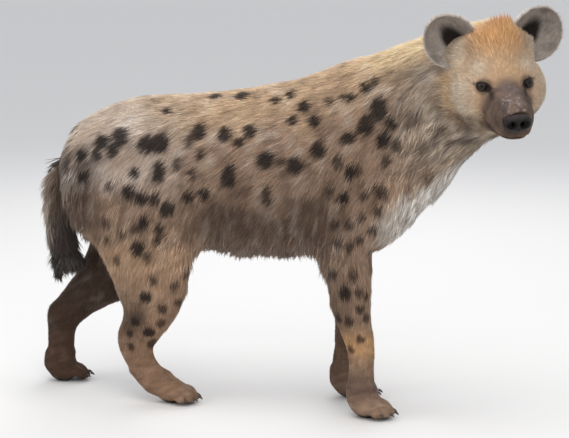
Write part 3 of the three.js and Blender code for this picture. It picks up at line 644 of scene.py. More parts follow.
def fit_toes(obj, solids):
    """Brings the paws' skin back to the solids' toes, which the coarse skin has rounded off."""
    refine(obj, lambda p: to_body(p)[:, 2] < 0.088)
    for rounds in (2, 3):
        points = points_of(obj)
        share = falls(0.06, 0.085, to_body(points)[:, 2])
        for i in np.nonzero(share > 0)[0]:
            near, normal, _, away = solids.find_nearest(Vector(points[i]))
            if away < 0.012:
                target = np.array(near - normal * TOE_DEPTH)
                points[i] += (target - points[i]) * share[i]
        set_points(obj, points)
        relax(obj, rounds, 0.5, share)


def make_skin():
    skin = copy_of_nodes(FLESH, "skin", grow=0.0006)
    solids = tree_of(skin)
    apply(skin, "REMESH", mode="VOXEL", voxel_size=SKIN_VOXEL)
    body = to_body(points_of(skin))
    locks = np.zeros(len(body))
    for low, high in LOCK_PLACES:
        locks = np.maximum(locks, inside_box(body, low, high))
    relax(skin, 110, 0.6, locks)
    apply(skin, "REMESH", mode="VOXEL", voxel_size=SKIN_VOXEL)
    relax(skin, 10)
    points = points_of(skin)
    set_points(skin, points - normals_of(skin) * coat_depth(points)[:, None])
    relax(skin, 4)
    fit_toes(skin, solids)
    shade_smooth(skin)
    return skin


# Markings: one colour for any point of the coat, used by skin and tufts alike

# Spots of the near side: photo pixel across and down, radius in pixels, height over width.
SPOTS = {
    "back": [
        (217, 97, 6, 0.6), (244, 96, 7, 0.8), (277, 100, 5, 0.6), (292, 94, 5, 0.8),
        (306, 107, 6, 1), (294, 120, 5, 1), (316, 120, 5, 1), (331, 101, 4, 1),
        (349, 97, 8, 0.6), (367, 87, 5, 1), (376, 80, 4, 1), (169, 111, 5, 0.5),
    ],
    "shoulder": [
        (380, 108, 8, 1.4), (367, 124, 7, 1.3), (350, 137, 6, 1), (319, 149, 7, 1.1),
        (339, 161, 4, 1.6), (350, 171, 5, 1.2), (357, 169, 4, 1), (392, 123, 5, 1.2),
        (384, 139, 6, 1.1), (398, 143, 4, 1.7), (387, 160, 4, 1.7), (344, 198, 5, 1),
        (365, 195, 4, 1), (377, 188, 4, 1), (383, 193, 4, 1), (330, 190, 4, 1),
        (379, 210, 4, 1), (362, 216, 4, 1), (336, 223, 4, 1), (350, 224, 4, 1),
        (373, 228, 4, 1), (360, 238, 4, 1), (338, 241, 4, 1), (350, 246, 4, 1), (369, 252, 4, 1),
    ],
    "flank": [
        (201, 131, 7, 1.2), (226, 134, 7, 1), (251, 131, 6, 1), (240, 142, 5, 0.8),
        (191, 141, 4, 1.8), (202, 154, 4, 1), (267, 160, 8, 1), (282, 161, 4, 1),
        (296, 165, 8, 1), (230, 175, 7, 1.5), (178, 163, 3, 1.8), (194, 174, 3, 1.8),
        (205, 193, 6, 0.8), (189, 197, 5, 1), (268, 195, 4, 1.8),
    ],
    "rump": [
        (122, 136, 8, 1.2), (104, 141, 7, 1), (113, 150, 6, 1), (97, 154, 5, 1),
        (83, 153, 5, 1), (148, 144, 8, 1.2), (162, 142, 8, 1.3), (160, 172, 6, 1.7),
        (135, 172, 5, 1), (110, 185, 4, 1), (129, 191, 6, 1.1), (142, 197, 7, 1),
        (155, 199, 5, 1), (168, 208, 6, 1.2), (60, 168, 4, 1), (70, 162, 4, 1), (84, 176, 5, 1),
    ],
    "thigh": [
        (143, 220, 5, 1), (137, 227, 4, 1), (159, 227, 4, 1), (158, 238, 4, 1),
        (122, 232, 4, 1), (108, 238, 4, 1), (107, 222, 4, 1), (138, 247, 6, 1.1),
        (148, 255, 4, 1), (118, 257, 4, 1), (187, 270, 4, 1),
    ],
    "foreleg": [
        (333, 271, 4, 1.1), (354, 275, 4, 1), (345, 292, 6, 1.2), (359, 292, 4, 1),
        (366, 296, 3, 1), (360, 308, 4, 1), (366, 318, 3, 1.2), (338, 317, 4, 1),
        (349, 321, 4, 1), (361, 340, 3, 1), (350, 349, 3, 1),
    ],
    "shank": [
        (153, 279, 4, 1), (175, 285, 4, 1), (146, 297, 5, 1), (162, 308, 4, 1),
        (178, 302, 4, 1), (162, 323, 4, 1), (135, 322, 4, 1), (149, 332, 5, 1),
        (130, 334, 3, 1), (153, 343, 4, 1), (131, 347, 3, 1),
    ],
}
# How far forward the left legs stand of the right ones: heights above the floor, and shifts.
STRIDE = {
    "fore": ([0.09, 0.14, 0.17, 0.24, 0.30, 0.37, 0.45], [-0.083, -0.076, -0.069, -0.051, -0.043, -0.032, 0]),
    "hind": (
        [0.10, 0.15, 0.19, 0.235, 0.28, 0.33, 0.40, 0.50],
        [-0.252, -0.24, -0.226, -0.194, -0.147, -0.116, -0.077, 0],
    ),
}
SPOT_SPREAD = 0.010  # how far the left side's spots stray, in metres
SPOT_GROWN = 1.3  # pixels added to each radius, because the hair round a spot closes over its edge
spots_found = []  # centre, radius, height over width and strength of each, once they are found


def find_spots(tree, random):
    """Sets the spots on the skin where the camera sees them, and mirrors them to the left side."""
    metres_per_px = CAMERA["distance"] / CAMERA["focal_px"]
    for x, y, radius, tall in itertools.chain(*SPOTS.values()):
        hit = tree.ray_cast(Vector(LENS_AT), Vector(photo_ray(x, y)))[0]
        if hit is None:
            continue
        strength = 1.0 if radius > 4 else 0.85
        size = (radius + SPOT_GROWN) * metres_per_px
        spots_found.append((np.array(hit), size, tall, strength))
        mirrored = to_body(np.array(hit)) * [1, -1, 1]
        heights, shifts = STRIDE["fore" if mirrored[0] > 0 else "hind"]
        mirrored[0] += np.interp(mirrored[2], heights, shifts)
        mirrored += random.normal(0, SPOT_SPREAD, 3)
        near, _, _, away = tree.find_nearest(Vector(mirrored + BODY_ORIGIN))
        if away < 0.05:
            spots_found.append((np.array(near), size * random.uniform(0.85, 1.15), tall, strength))


def spot_share(points):
    """How far each point lies in a spot, with ragged edges."""
    share = np.zeros(len(points))
    at = points + noises(points, 0.016, (1, 2, 3)) * 0.0032
    for centre, radius, tall, strength in spots_found:
        near = np.abs(at - centre).max(1) < radius * 2.6
        reach = np.linalg.norm((at[near] - centre) / [1, 1, tall], axis=1) / radius
        share[near] = np.maximum(share[near], strength * falls(0.78, 1.22, reach))
    return share


# Colours on the eye's 0 to 255 scale, kept as light.
PALETTE = {
    "sand": (208, 176, 142), "gold": (238, 206, 162), "grey": (222, 208, 196),
    "flank": (162, 134, 112), "tan": (190, 156, 126), "umber": (82, 64, 53),
    "pale": (220, 207, 192), "deep": (74, 56, 46), "cream": (238, 231, 222),
    "neck": (176, 158, 138), "streak": (84, 70, 62), "leg": (178, 146, 120),
    "leg_low": (152, 120, 96), "far_leg_shade": (74, 54, 42), "carpus": (204, 158, 110),
    "paw_dark": (104, 82, 74), "spot": (27, 19, 17), "head": (190, 156, 122),
    "crown": (198, 150, 100), "rust": (172, 112, 64), "cheek": (210, 194, 172),
    "ruff": (186, 150, 108), "brow": (206, 192, 174), "muzzle": (66, 55, 54),
    "bridge": (122, 106, 102), "jaw_brown_and_shade": (94, 70, 50), "rim": (34, 27, 24), "lip": (46, 36, 33),
    "ear_out": (176, 164, 154), "ear_in": (34, 26, 22), "ear_rim": (224, 214, 204),
    "tail_root": (98, 80, 68), "tail_grey": (196, 178, 162), "tail_dark": (50, 41, 38),
    "nose": (34, 29, 27), "pad": (40, 33, 30),
}
PALETTE = {name: linear(*rgb) for name, rgb in PALETTE.items()}


def plain(name, points):
    return np.tile(PALETTE[name], (len(points), 1))


def layered(ground, *layers):
    """Lays named colours over the ground, each with its share of every point."""
    for name, share in layers:
        ground = mix(ground, PALETTE[name], share)
    return ground


def streaks(points, seed, fall=-0.55, long=0.05, wide=0.009):
    """Tone that runs in streaks along the fall of the coat, from -1 to 1."""
    b = to_body(points)
    d = np.array([-1.0, fall]) / math.hypot(1, fall)
    run, over = b[:, 0] * d[0] + b[:, 2] * d[1], b[:, 2] * d[0] - b[:, 0] * d[1]
    return noise(np.stack([run / long, over / wide, b[:, 1] / (2 * wide)], 1), 1.0, seed)


# In the colours below, each zone is worked out first, from where it starts to where it is full.


def body_colour(points):
    x, y, z = to_body(points).T
    height = height_share(points)
    broad, patch = noise(points, 0.07, 5), noise(points, 0.028, 6)
    streak = streaks(points, 7, -1.0, 0.07, 0.011) + 0.4 * patch
    rump = falls(-0.36, -0.12, x) * smooth(0.2, 0.5, height)
    ridge = smooth(0.86, 1.0, height) * smooth(-0.45, -0.1, x)
    low = falls(0.16, 0.6, height + 0.14 * patch) * smooth(-0.26, -0.12, x)
    neck = smooth(0.22, 0.36, x) * smooth(0.5, 0.62, z)
    # Painted shade: the neck darkened in streaks under the jaw, where the head shades it.
    shade_under_jaw = bump(x, 0.36, 0.07) * bump(z, 0.63, 0.055) * smooth(-0.6, 0.4, streak)
    # Painted shade: the backs of the thighs darkened in the gap by the tail.
    shade_behind_thighs = falls(-0.43, -0.36, x) * falls(0.55, 0.62, z) * smooth(0.34, 0.4, z)
    chest = smooth(-0.025, 0.03, x - np.interp(z, *CHEST_LINE) + 0.015 * patch)
    trunk = layered(
        plain("flank", points),
        ("sand", smooth(0.62, 0.95, height + 0.1 * broad)),
        # Grey on the rump: the coat's grey, lightened by a painted sheen.
        ("grey", rump * (0.55 + 0.35 * broad)),
        ("sand", ridge * 0.6),
        ("umber", low * falls(0.1, 0.24, x) * 0.9),
        ("neck", neck),
        ("streak", neck * smooth(0.0, 0.7, streak) * 0.8),
        ("streak", shade_under_jaw * 0.7),
        ("deep", shade_behind_thighs * 0.8),
        ("gold", smooth(0.12, 0.3, x) * smooth(0.84, 1.0, height)),
        ("cream", chest * smooth(0.33, 0.42, z)),
    )
    thigh = smooth(0.2, 0.4, z) * (x < -0.1)
    legs = layered(plain("leg", points), ("leg_low", falls(0.1, 0.3, z)), ("tan", thigh))
    # Painted shade: the far hind leg's brown, darkened where it stands in the body's shade.
    far_leg_shade = (x < -0.1) * smooth(0.0, 0.03, y) * falls(0.3, 0.42, z)
    hock = falls(-0.305, -0.27, x) * (y < 0) * bump(z, 0.2, 0.06)
    fore = (x > 0.08) * falls(0.1, 0.3, y)
    foot = fore * bump(z, 0.07, 0.028) * (y < 0) * smooth(-0.4, 0.4, patch + 0.3)
    c = layered(
        mix(trunk, legs, falls(0.33, 0.42, z) * (1 - low * 0.8)),
        ("far_leg_shade", far_leg_shade * 0.95),
        ("umber", hock * (0.75 + 0.2 * patch)),
        ("carpus", fore * bump(z, 0.165, 0.03) * (y < 0) * 0.8),
        ("paw_dark", foot * 0.8),
    )
    # Painted shade: the insides of the legs, between them and under the trunk, made darker.
    inner = smooth(0.0, 0.02, np.where(y < 0, y + 0.075, 0.075 - y)) * falls(0.3, 0.38, z) * (z > 0.12)
    return layered(mix(c, c * 0.72, inner), ("pad", falls(0.006, 0.011, z)))


def face_colour(points):
    h = folded(to_head(points))
    x, y, z = h.T
    patch, fine = noise(points, 0.014, 8), noise(points, 0.006, 9)
    speckle = noise(points, 0.006, 10) + 0.4 * noise(points, 0.0025, 15)
    forelock = bump(x, -0.07, 0.035) * bump(y, 0.0, 0.024) * smooth(0.09, 0.12, z)
    cheek = smooth(0.03, 0.06, y) * falls(-0.01, 0.05, z) * falls(-0.02, 0.03, x)
    ruff = falls(-0.08, -0.035, x) * smooth(0.05, 0.08, y) * falls(0.0, 0.05, z)
    temple = falls(-0.07, -0.03, x) * smooth(0.05, 0.08, y) * smooth(0.0, 0.05, z)
    brow = bump(x, -0.012, 0.026) * bump(y, 0.045, 0.022) * bump(z, 0.034, 0.018)
    # The jaw's golden-brown, with painted shade under the jaw.
    jaw_brown_and_shade = falls(-0.078, -0.052, z) * falls(0.05, 0.09, x) * smooth(0.01, 0.03, y)
    muzzle = smooth(0.012, 0.05, x + 0.35 * (-z - 0.02)) * smooth(-0.095, -0.085, z)
    bridge = smooth(0.03, 0.06, x) * falls(0.012, 0.03, y) * smooth(-0.045, -0.02, z)
    fleck = smooth(0.1, 0.8, speckle) * smooth(0.065, 0.085, x) * falls(0.016, 0.03, y)
    eye = np.linalg.norm((h - EYE_AT) / [1, 1.15, 0.85], axis=1)
    chin = smooth(0.06, 0.09, x) * falls(-0.1, -0.088, z)
    return layered(
        plain("head", points),
        ("crown", smooth(0.05, 0.1, z) * falls(0.03, 0.075, y)),
        ("rust", forelock * (0.55 + 0.4 * patch)),
        ("cheek", cheek * (0.8 + 0.2 * patch)),
        ("ruff", ruff * (0.75 + 0.4 * patch)),
        ("cheek", temple * 0.7),
        ("brow", brow * 0.9),
        ("jaw_brown_and_shade", jaw_brown_and_shade * (0.75 + 0.3 * patch)),
        ("cheek", falls(-0.125, -0.1, z) * falls(0.02, 0.05, y) * 0.7),
        ("muzzle", muzzle * (0.85 + 0.15 * patch)),
        ("bridge", bridge * (0.5 + 0.5 * fine)),
        ("brow", fleck * smooth(-0.05, -0.04, z) * 0.28),
        ("muzzle", falls(0.014, 0.027, eye) * 0.7),
        ("rim", falls(0.004, 0.01, distance_to(TEAR_LINE, h)) * 0.8),
        ("rim", falls(0.0145, 0.0185, opening_reach(h))),
        ("rim", falls(0.003, 0.0075, distance_to(INNER_CORNER, h)) * 0.9),
        ("rim", falls(0.002, 0.006, distance_to(OUTER_CORNER, h)) * 0.7),
        ("lip", falls(0.003, 0.0068, lip_reach(h))),
        ("bridge", chin * 0.4),
    )


def coat_colour(points):
    """The coat's own colour at each point, spots included."""
    on_head = head_share(points)
    c = mix(body_colour(points), face_colour(points), on_head)
    z = to_body(points)[:, 2]
    legs = falls(0.3, 0.4, z)
    belly = falls(0.2, 0.6, height_share(points)) * (1 - legs)
    mottle = 0.6 * noise(points, 0.028, 11) + 0.5 * noise(points, 0.012, 12)
    mottle += 0.5 * streaks(points, 13) * (1 - belly)
    mottle += 1.1 * belly * streaks(points, 19, -5.0, 0.07, 0.008)
    mottle = (mottle - 0.05) * (1 - on_head) * (1 - 0.6 * legs) * (1 - 0.7 * nape_share(points))
    c = layered(
        c,
        ("pale", np.clip(mottle, 0, 1) * (0.5 - 0.33 * belly) * (1 - 0.5 * legs)),
        ("deep", np.clip(-mottle, 0, 1) * 0.6),
    )
    dapple = 1 + 0.22 * streaks(points, 14, -0.35, 0.03, 0.005) * (1 - on_head)
    dapple += (0.1 * noise(points, 0.007, 16) + 0.1 * noise(points, 0.0035, 17)) * on_head
    # Painted shade: a dark, ragged line along the head's lower border, where the cheeks shade the neck.
    edge = on_head * (1 - on_head) * 4 * smooth(-0.5, 0.5, noise(points, 0.02, 18))
    return layered(
        c * np.maximum(dapple, 0.3)[:, None],
        ("streak", edge * 0.5 * (z < 0.8)),
        ("spot", spot_share(points) * (1 - on_head) * 0.93),
    )


def ear_inside(normals):
    """1 on the ear's inner face, which looks forward."""
    return smooth(0.15, 0.5, (normals @ TO_WORLD)[:, 0])


def ear_colour(points, normals, side):
    lean = math.radians(EAR_LEAN) * side
    h = to_head(points) - EAR_BASE * [1, side, 1]
    up = h[:, 1] * math.sin(lean) + h[:, 2] * math.cos(lean)
    over = h[:, 1] * math.cos(lean) - h[:, 2] * math.sin(lean)
    patch = noise(points, 0.02, 41) + 0.5 * noise(points, 0.005, 42)
    c = plain("ear_out", points)
    c = mix(c, c * 0.6, smooth(-0.2, 0.8, patch))
    hollow = np.hypot((over + 0.008 * side) / 0.025, (up - 0.032) / 0.052)
    inner = mix(plain("ear_in", points), c, smooth(0.55, 1.05, hollow + 0.1 * patch))
    rim = np.hypot(over / 0.055, (up - 0.046) / 0.061)
    return layered(mix(c, inner, ear_inside(normals)), ("ear_rim", smooth(0.93, 1.02, rim)))


def tail_colour(points):
    x, _, z = to_body(points).T
    edge = falls(-0.566, -0.538, x) * smooth(0.31, 0.4, z)
    return layered(
        plain("tail_root", points),
        ("tail_dark", falls(0.36, 0.5, z + 0.02 * noise(points, 0.03, 51))),
        ("tail_grey", edge * (0.75 + 0.3 * noise(points, 0.02, 52))),
    )


# The lie of the coat: which way hair points, and how long it is

# Place (x, z) and direction (x, z), in the body's frame.
COMBED = [
    (-0.47, 0.52, -0.3, -1.0), (-0.41, 0.63, -0.8, -0.7), (-0.30, 0.69, -1, -0.3),
    (-0.10, 0.71, -1, -0.2), (0.10, 0.75, -1, -0.25), (0.25, 0.79, -1, -0.35),
    (0.40, 0.85, -1, -0.45), (0.42, 0.74, -0.8, -0.75), (0.30, 0.62, -0.6, -1),
    (0.18, 0.55, -0.45, -1), (0.18, 0.66, -0.8, -0.8), (0.00, 0.58, -0.9, -0.65),
    (-0.15, 0.58, -0.9, -0.6), (-0.30, 0.56, -0.55, -1), (-0.38, 0.48, -0.4, -1),
    (-0.05, 0.44, -0.55, -1), (-0.10, 0.36, -0.45, -1), (-0.24, 0.42, -0.25, -1),
    (0.30, 0.45, -0.3, -1), (0.18, 0.38, -0.15, -1), (-0.40, 0.38, -0.45, -1),
    (-0.30, 0.30, -0.2, -1), (0.15, 0.25, 0, -1), (-0.50, 0.25, -0.4, -1),
    (-0.33, 0.15, 0.1, -1), (0.15, 0.12, 0, -1),
]


def laid(along, normal, share=1.0):
    """Directions pressed down on the surface."""
    return unit(along - normal * (along * normal).sum(1)[:, None] * share)


def lie_of(points, normals):
    """The way the coat is combed at each point of the skin."""
    x, _, z = to_body(points).T
    total = np.zeros((len(points), 3))
    for at_x, at_z, dx, dz in COMBED:
        d2 = (x - at_x) ** 2 + (z - at_z) ** 2
        total += np.array([dx, 0, dz]) / np.hypot(dx, dz) / (d2[:, None] + 0.0008) ** 1.5
    along = unit(mix(unit(total), np.array([0.9, 0, -0.45]), falls(0.045, 0.09, z)))
    h = to_head(points)
    away = unit(h - NOSE_TIP)
    away[:, 2] -= 0.25 * smooth(-0.02, 0.06, -h[:, 0]) * smooth(0.03, 0.06, np.abs(h[:, 1]))
    along = mix(along, away @ TO_WORLD.T, head_share(points))
    waves, curls = noises(points, 0.06, (21, 22, 23)), noises(points, 0.018, (24, 25, 26))
    return laid(along + waves * 0.22 + curls * 0.2, normals)


HAIR = {"flank": 0.027, "leg": 0.011, "foot": 0.0065, "muzzle": 0.0045, "least": 0.004}  # lengths
MORE_HAIR = {  # added to the flank's, the leg's or the muzzle's length
    "low": 0.006, "belly": 0.03, "nape": 0.017, "neck": 0.014, "rump": 0.018, "elbow": 0.013,
    "cheek": 0.0065, "back_of_head": 0.009, "forelock": 0.022, "by_eye": -0.004,
    "before_ear": -0.008, "behind_ear": 0.012,
}


def hair_length(points):
    x, _, z = to_body(points).T
    height, more = height_share(points), MORE_HAIR
    length = HAIR["flank"] + more["low"] * falls(0.2, 0.6, height)
    length += more["belly"] * falls(0.0, 0.22, height) * smooth(-0.26, -0.18, x) * falls(0.1, 0.2, x)
    length += more["nape"] * smooth(0.84, 0.98, height) * smooth(0.08, 0.25, x)
    length += more["neck"] * smooth(0.22, 0.34, x)
    length += more["rump"] * falls(-0.455, -0.42, x) * smooth(0.36, 0.42, z)
    leg = HAIR["leg"] + more["elbow"] * smooth(0.1, 0.34, z)
    length = between(length, leg, falls(0.26, 0.42, z))
    length = between(length, HAIR["foot"], falls(0.03, 0.1, z))
    h = folded(to_head(points))
    back, ear = away_from(h, NOSE_TIP), away_from(h, EAR_ROOT)
    x, y, z = h.T
    face = HAIR["muzzle"] + more["cheek"] * smooth(0.11, 0.15, back)
    face += more["back_of_head"] * smooth(0.17, 0.24, back)
    face += more["forelock"] * bump(y, 0, 0.045) * smooth(0.08, 0.105, z) * smooth(0.035, 0.07, -x)
    face += more["by_eye"] * falls(0.018, 0.03, away_from(h, EYE_AT))
    face += more["before_ear"] * falls(0.03, 0.06, ear) * falls(0.08, 0.095, -x)
    face = np.maximum(face, HAIR["least"])
    face += more["behind_ear"] * falls(0.03, 0.055, ear) * smooth(0.08, 0.1, -x)
    return between(length, face, head_share(points))


# Tufts: closed little locks, as (way along, side, rise) of each corner and the faces between them

FORK = (
    [
        (0.0, -0.5, 0), (0.0, 0.5, 0), (0.05, 0, 1), (0.45, -0.8, 0), (0.45, 0.8, 0), (0.5, 0, 1),
        (0.68, 0, 0.2), (0.9, -0.7, 0.1), (1.0, 0.45, 0.1),
    ],
    [
        (1, 0, 2), (2, 0, 3), (2, 3, 5), (1, 2, 5), (1, 5, 4), (0, 1, 4), (0, 4, 3),
        (5, 3, 7), (6, 5, 7), (3, 6, 7), (4, 5, 8), (5, 6, 8), (6, 4, 8), (3, 4, 6),
    ],
)
SPIKE = ([(0, -0.5, 0), (0, 0.5, 0), (0.12, 0, 1), (1, 0, 0.2)], [(1, 0, 2), (2, 0, 3), (1, 2, 3), (0, 1, 3)])
TUFT_PATCH = 0.003  # of each tuft in the coat's own map
ARCH = 0.45  # how far a tuft that lifts off comes back down towards its tip
SHADE = {"root": 0.7, "to_tip": 0.42}  # a tuft's colour is darker at the root and lighter at the tip
# What a coat's tufts are where it doesn't say: thickness over width, droop over length, metres under
# the surface, spread of bends and of tones, and how far shading comes from the surface they grow on.
USUAL_TUFT = {"thick": 0.35, "droop": 0.0, "sink": 0.0012, "curl": 0.12, "tone": 0.22, "soft": 0.7}
MOST_TRIANGLES = 185000  # in one coat piece


def roots_on(obj, spacing, random, grows=None):
    """Roots of tufts about `spacing` apart, a number or a function of place, where hair grows."""
    mesh = obj.data
    mesh.calc_loop_triangles()
    corners = numbers(mesh.loop_triangles, "vertices", 3, np.int32)
    loops = numbers(mesh.loop_triangles, "loops", 3, np.int32)
    uv = numbers(mesh.uv_layers["OFBake"].data, "uv", 2)[loops]
    points, normals = points_of(obj)[corners], normals_of(obj)[corners]
    a, b, c = points[:, 0], points[:, 1], points[:, 2]
    middle = (a + b + c) / 3
    area = np.linalg.norm(np.cross(b - a, c - a), axis=1) / 2
    if callable(spacing):
        spacing = spacing(middle)
    if grows:
        area = area * grows(middle)
    count = np.floor(area / (spacing * spacing) + random.random(len(area))).astype(int)
    pick = np.repeat(np.arange(len(count)), count)
    s, t = random.random(len(pick)), random.random(len(pick))
    over = s + t > 1
    s, t = np.where(over, 1 - s, s), np.where(over, 1 - t, t)
    share = np.stack([1 - s - t, s, t], 1)[:, :, None]
    root, normal, place = ((values[pick] * share).sum(1) for values in (points, normals, uv))
    return {"root": root, "normal": unit(normal), "uv": place}


def tuft_mesh(name, points, faces, colours, uv):
    mesh = bpy.data.meshes.new(name)
    mesh.vertices.add(len(points))
    mesh.vertices.foreach_set("co", points.astype(np.float32).ravel())
    mesh.loops.add(faces.size)
    mesh.loops.foreach_set("vertex_index", faces.astype(np.int32).ravel())
    mesh.polygons.add(len(faces))
    mesh.polygons.foreach_set("loop_start", np.arange(0, faces.size, 3, dtype=np.int32))
    mesh.update(calc_edges=True)
    layer = mesh.uv_layers.new(name="OFBake")
    layer.data.foreach_set("uv", uv[faces.ravel()].astype(np.float32).ravel())
    paint(mesh, colours)
    piece = new_object(name, mesh)
    shade_smooth(piece)
    return piece


def grow_tufts(name, template, hair, random):
    """One mesh of tufts. `hair` holds a row, or one number for all, under each name used here."""
    shape, faces = np.array(template[0], float), np.array(template[1], int)
    root, normal, along = hair["root"], hair["normal"], hair["along"]
    count = len(root)
    length, width, lift, thick, droop = (
        np.broadcast_to(np.asarray(hair[key], float), count)[:, None]
        for key in ("length", "width", "lift", "thick", "droop")
    )
    bend = random.normal(0, hair["curl"], count)[:, None]
    across = unit(np.cross(normal, along))
    corners, soft = [], []
    for u, side, rise in shape:
        soft.append(normal + across * side * 0.5 + along * (u - 0.3) * 0.35)
        at = root - normal * hair["sink"]
        at = at + along * length * u + normal * length * lift * (u - ARCH * u * u)
        at = at + across * (bend * length * u * u + side * width)
        at = at + normal * (thick * width) * rise
        corners.append(at + np.array([0, 0, -1.0]) * droop * length * u * u)
    offsets = (np.arange(count) * len(shape))[:, None, None]
    faces = (faces[None] + offsets).reshape(-1, 3)
    tone = np.exp(random.normal(0, hair["tone"], count))
    shade = SHADE["root"] + SHADE["to_tip"] * shape[:, 0]
    colours = (hair["colour"] * tone[:, None])[:, None, :] * shade[None, :, None]
    patch = (shape[:, [1, 0]] * [0.5, 1] - [0, 0.5]) * TUFT_PATCH
    uv = hair["uv"][:, None, :] + patch[None]
    points = np.stack(corners, 1).reshape(-1, 3)
    piece = tuft_mesh(name, points, faces, colours.reshape(-1, 3), uv.reshape(-1, 2))
    normals = between(normals_of(piece), unit(np.stack(soft, 1).reshape(-1, 3)), hair["soft"])
    piece.data.normals_split_custom_set_from_vertices(unit(normals))
    return piece


def grow_coat(name, template, hair, random):
    """A coat in several pieces, cut across the body, so that none has too many triangles."""
    hair = {**USUAL_TUFT, **hair}
    most = MOST_TRIANGLES // len(template[1])
    order = np.argsort(hair["root"][:, 0], kind="stable")
    for i, pick in enumerate(np.array_split(order, math.ceil(len(order) / most))):
        own = {key: value[pick] if isinstance(value, np.ndarray) else value for key, value in hair.items()}
        keep(grow_tufts(f"{name}_{i + 1}", template, own, random), coat_material)


# The face, shaped in the skin

EYE_RADIUS = 0.0155
GAZE = [0.84, 0.52, 0.08]  # of the left eye, in the head's frame
SLIT = {"half": 0.0142, "upper": 0.0066, "lower": 0.0070, "tilt": 14}
LID = 0.0018  # how far the skin round the slit lies over the eyeball


def eye_frame(side):
    """The eyeball's centre and its gaze, leftward and upward directions."""
    centre = box_centre("eye_left" if side > 0 else "eye_right")
    gaze = unit(TO_WORLD @ (np.array(GAZE) * [1, side, 1]))
    across = unit(np.cross(TO_WORLD @ [0, 0, 1], gaze))
    up = np.cross(gaze, across)
    tilt = math.radians(SLIT["tilt"] * side)
    turned = across * math.cos(tilt) + up * math.sin(tilt)
    return centre, gaze, turned, np.cross(gaze, turned)


def face_near(points):
    h = to_head(points)
    return (h[:, 0] > -0.075) & (np.linalg.norm(h, axis=1) < 0.19)


def detail_near(points):
    h = folded(to_head(points))
    eyes = np.linalg.norm(h - EYE_AT, axis=1) < 0.03
    muzzle = (h[:, 0] > 0.075) & (h[:, 0] < 0.2)
    lips = distance_to(mouth_line()[::4], h) < 0.013
    return eyes | muzzle | lips


def shape_eyes(obj):
    """Sinks the skin behind the eyeballs, and raises what lies round them into lids."""
    points = points_of(obj)
    for side in (1, -1):
        centre, gaze, across, up = eye_frame(side)
        q = points - centre
        reach = np.linalg.norm(q, axis=1)
        a, b, front = q @ across, q @ up, q @ gaze
        half = SLIT["upper"] + 0.003
        open_eye = (np.hypot(a / (SLIT["half"] + 0.002), b / half) < 1) & (front > 0)
        near = (reach < EYE_RADIUS * 2) & (front > -0.004)
        lid = EYE_RADIUS + LID
        over = near & ~open_eye & (reach < lid)
        points[over] = centre + q[over] / reach[over, None] * lid
        sunk = near & open_eye
        points[sunk] = centre + q[sunk] / reach[sunk, None] * EYE_RADIUS * 0.85
    set_points(obj, points)


def shape_mouth(obj):
    """The groove between the lips, the furrow below the nose, and a fold behind the muzzle."""
    points, normals = points_of(obj), normals_of(obj)
    h = folded(to_head(points))
    d = lip_reach(h)
    lips = -0.006 * bump(d, 0, 0.0024) + 0.0018 * bump(d, 0.0065, 0.0034)
    furrow = -0.0022 * bump(h[:, 1], 0, 0.0016) * (h[:, 0] > 0.118) * bump(h[:, 2], -0.074, 0.008)
    fold = -0.0016 * bump(distance_to(MUZZLE_FOLD, h), 0, 0.004)
    move = np.where(d < 0.02, lips, 0) + furrow + fold
    set_points(obj, points + normals * move[:, None])


def ball(name, segments, rings, radius):
    bpy.ops.object.select_all(action="DESELECT")
    bpy.ops.mesh.primitive_uv_sphere_add(segments=segments, ring_count=rings, radius=radius)
    made = bpy.context.object
    made.name = name
    return made


def make_eye(name, side):
    """An eyeball with a raised cornea; its ring attribute is 0 at the pupil and 1 at the side."""
    centre, gaze, across, up = eye_frame(side)
    eye = ball(name, 48, 32, EYE_RADIUS)
    local = points_of(eye)
    ring = np.linalg.norm(local[:, :2], axis=1) / EYE_RADIUS
    local[:, 2] += (local[:, 2] > 0) * falls(0.45, 0.72, ring) * 0.0011
    turned = local[:, :1] * across + local[:, 1:2] * up + local[:, 2:] * gaze
    ring = np.where(local[:, 2] > 0, ring, 1)
    set_points(eye, turned + centre)
    eye.data.attributes.new("Ring", "FLOAT", "POINT").data.foreach_set("value", ring.astype(np.float32))
    shade_smooth(eye)
    return eye


# Rings of the lids, from the slit's edge outwards: share of the slit, and height over what they lie
# on, which is the eyeball for the first four and the skin for the others.
LID_RINGS = [(0.97, -0.001), (1.0, 0.0005), (1.06, 0.0012), (1.18, 0.0019), (1.5, 0.0005), (1.75, -0.0012)]
RINGS_ON_EYE = 4
LID_STEPS = 72


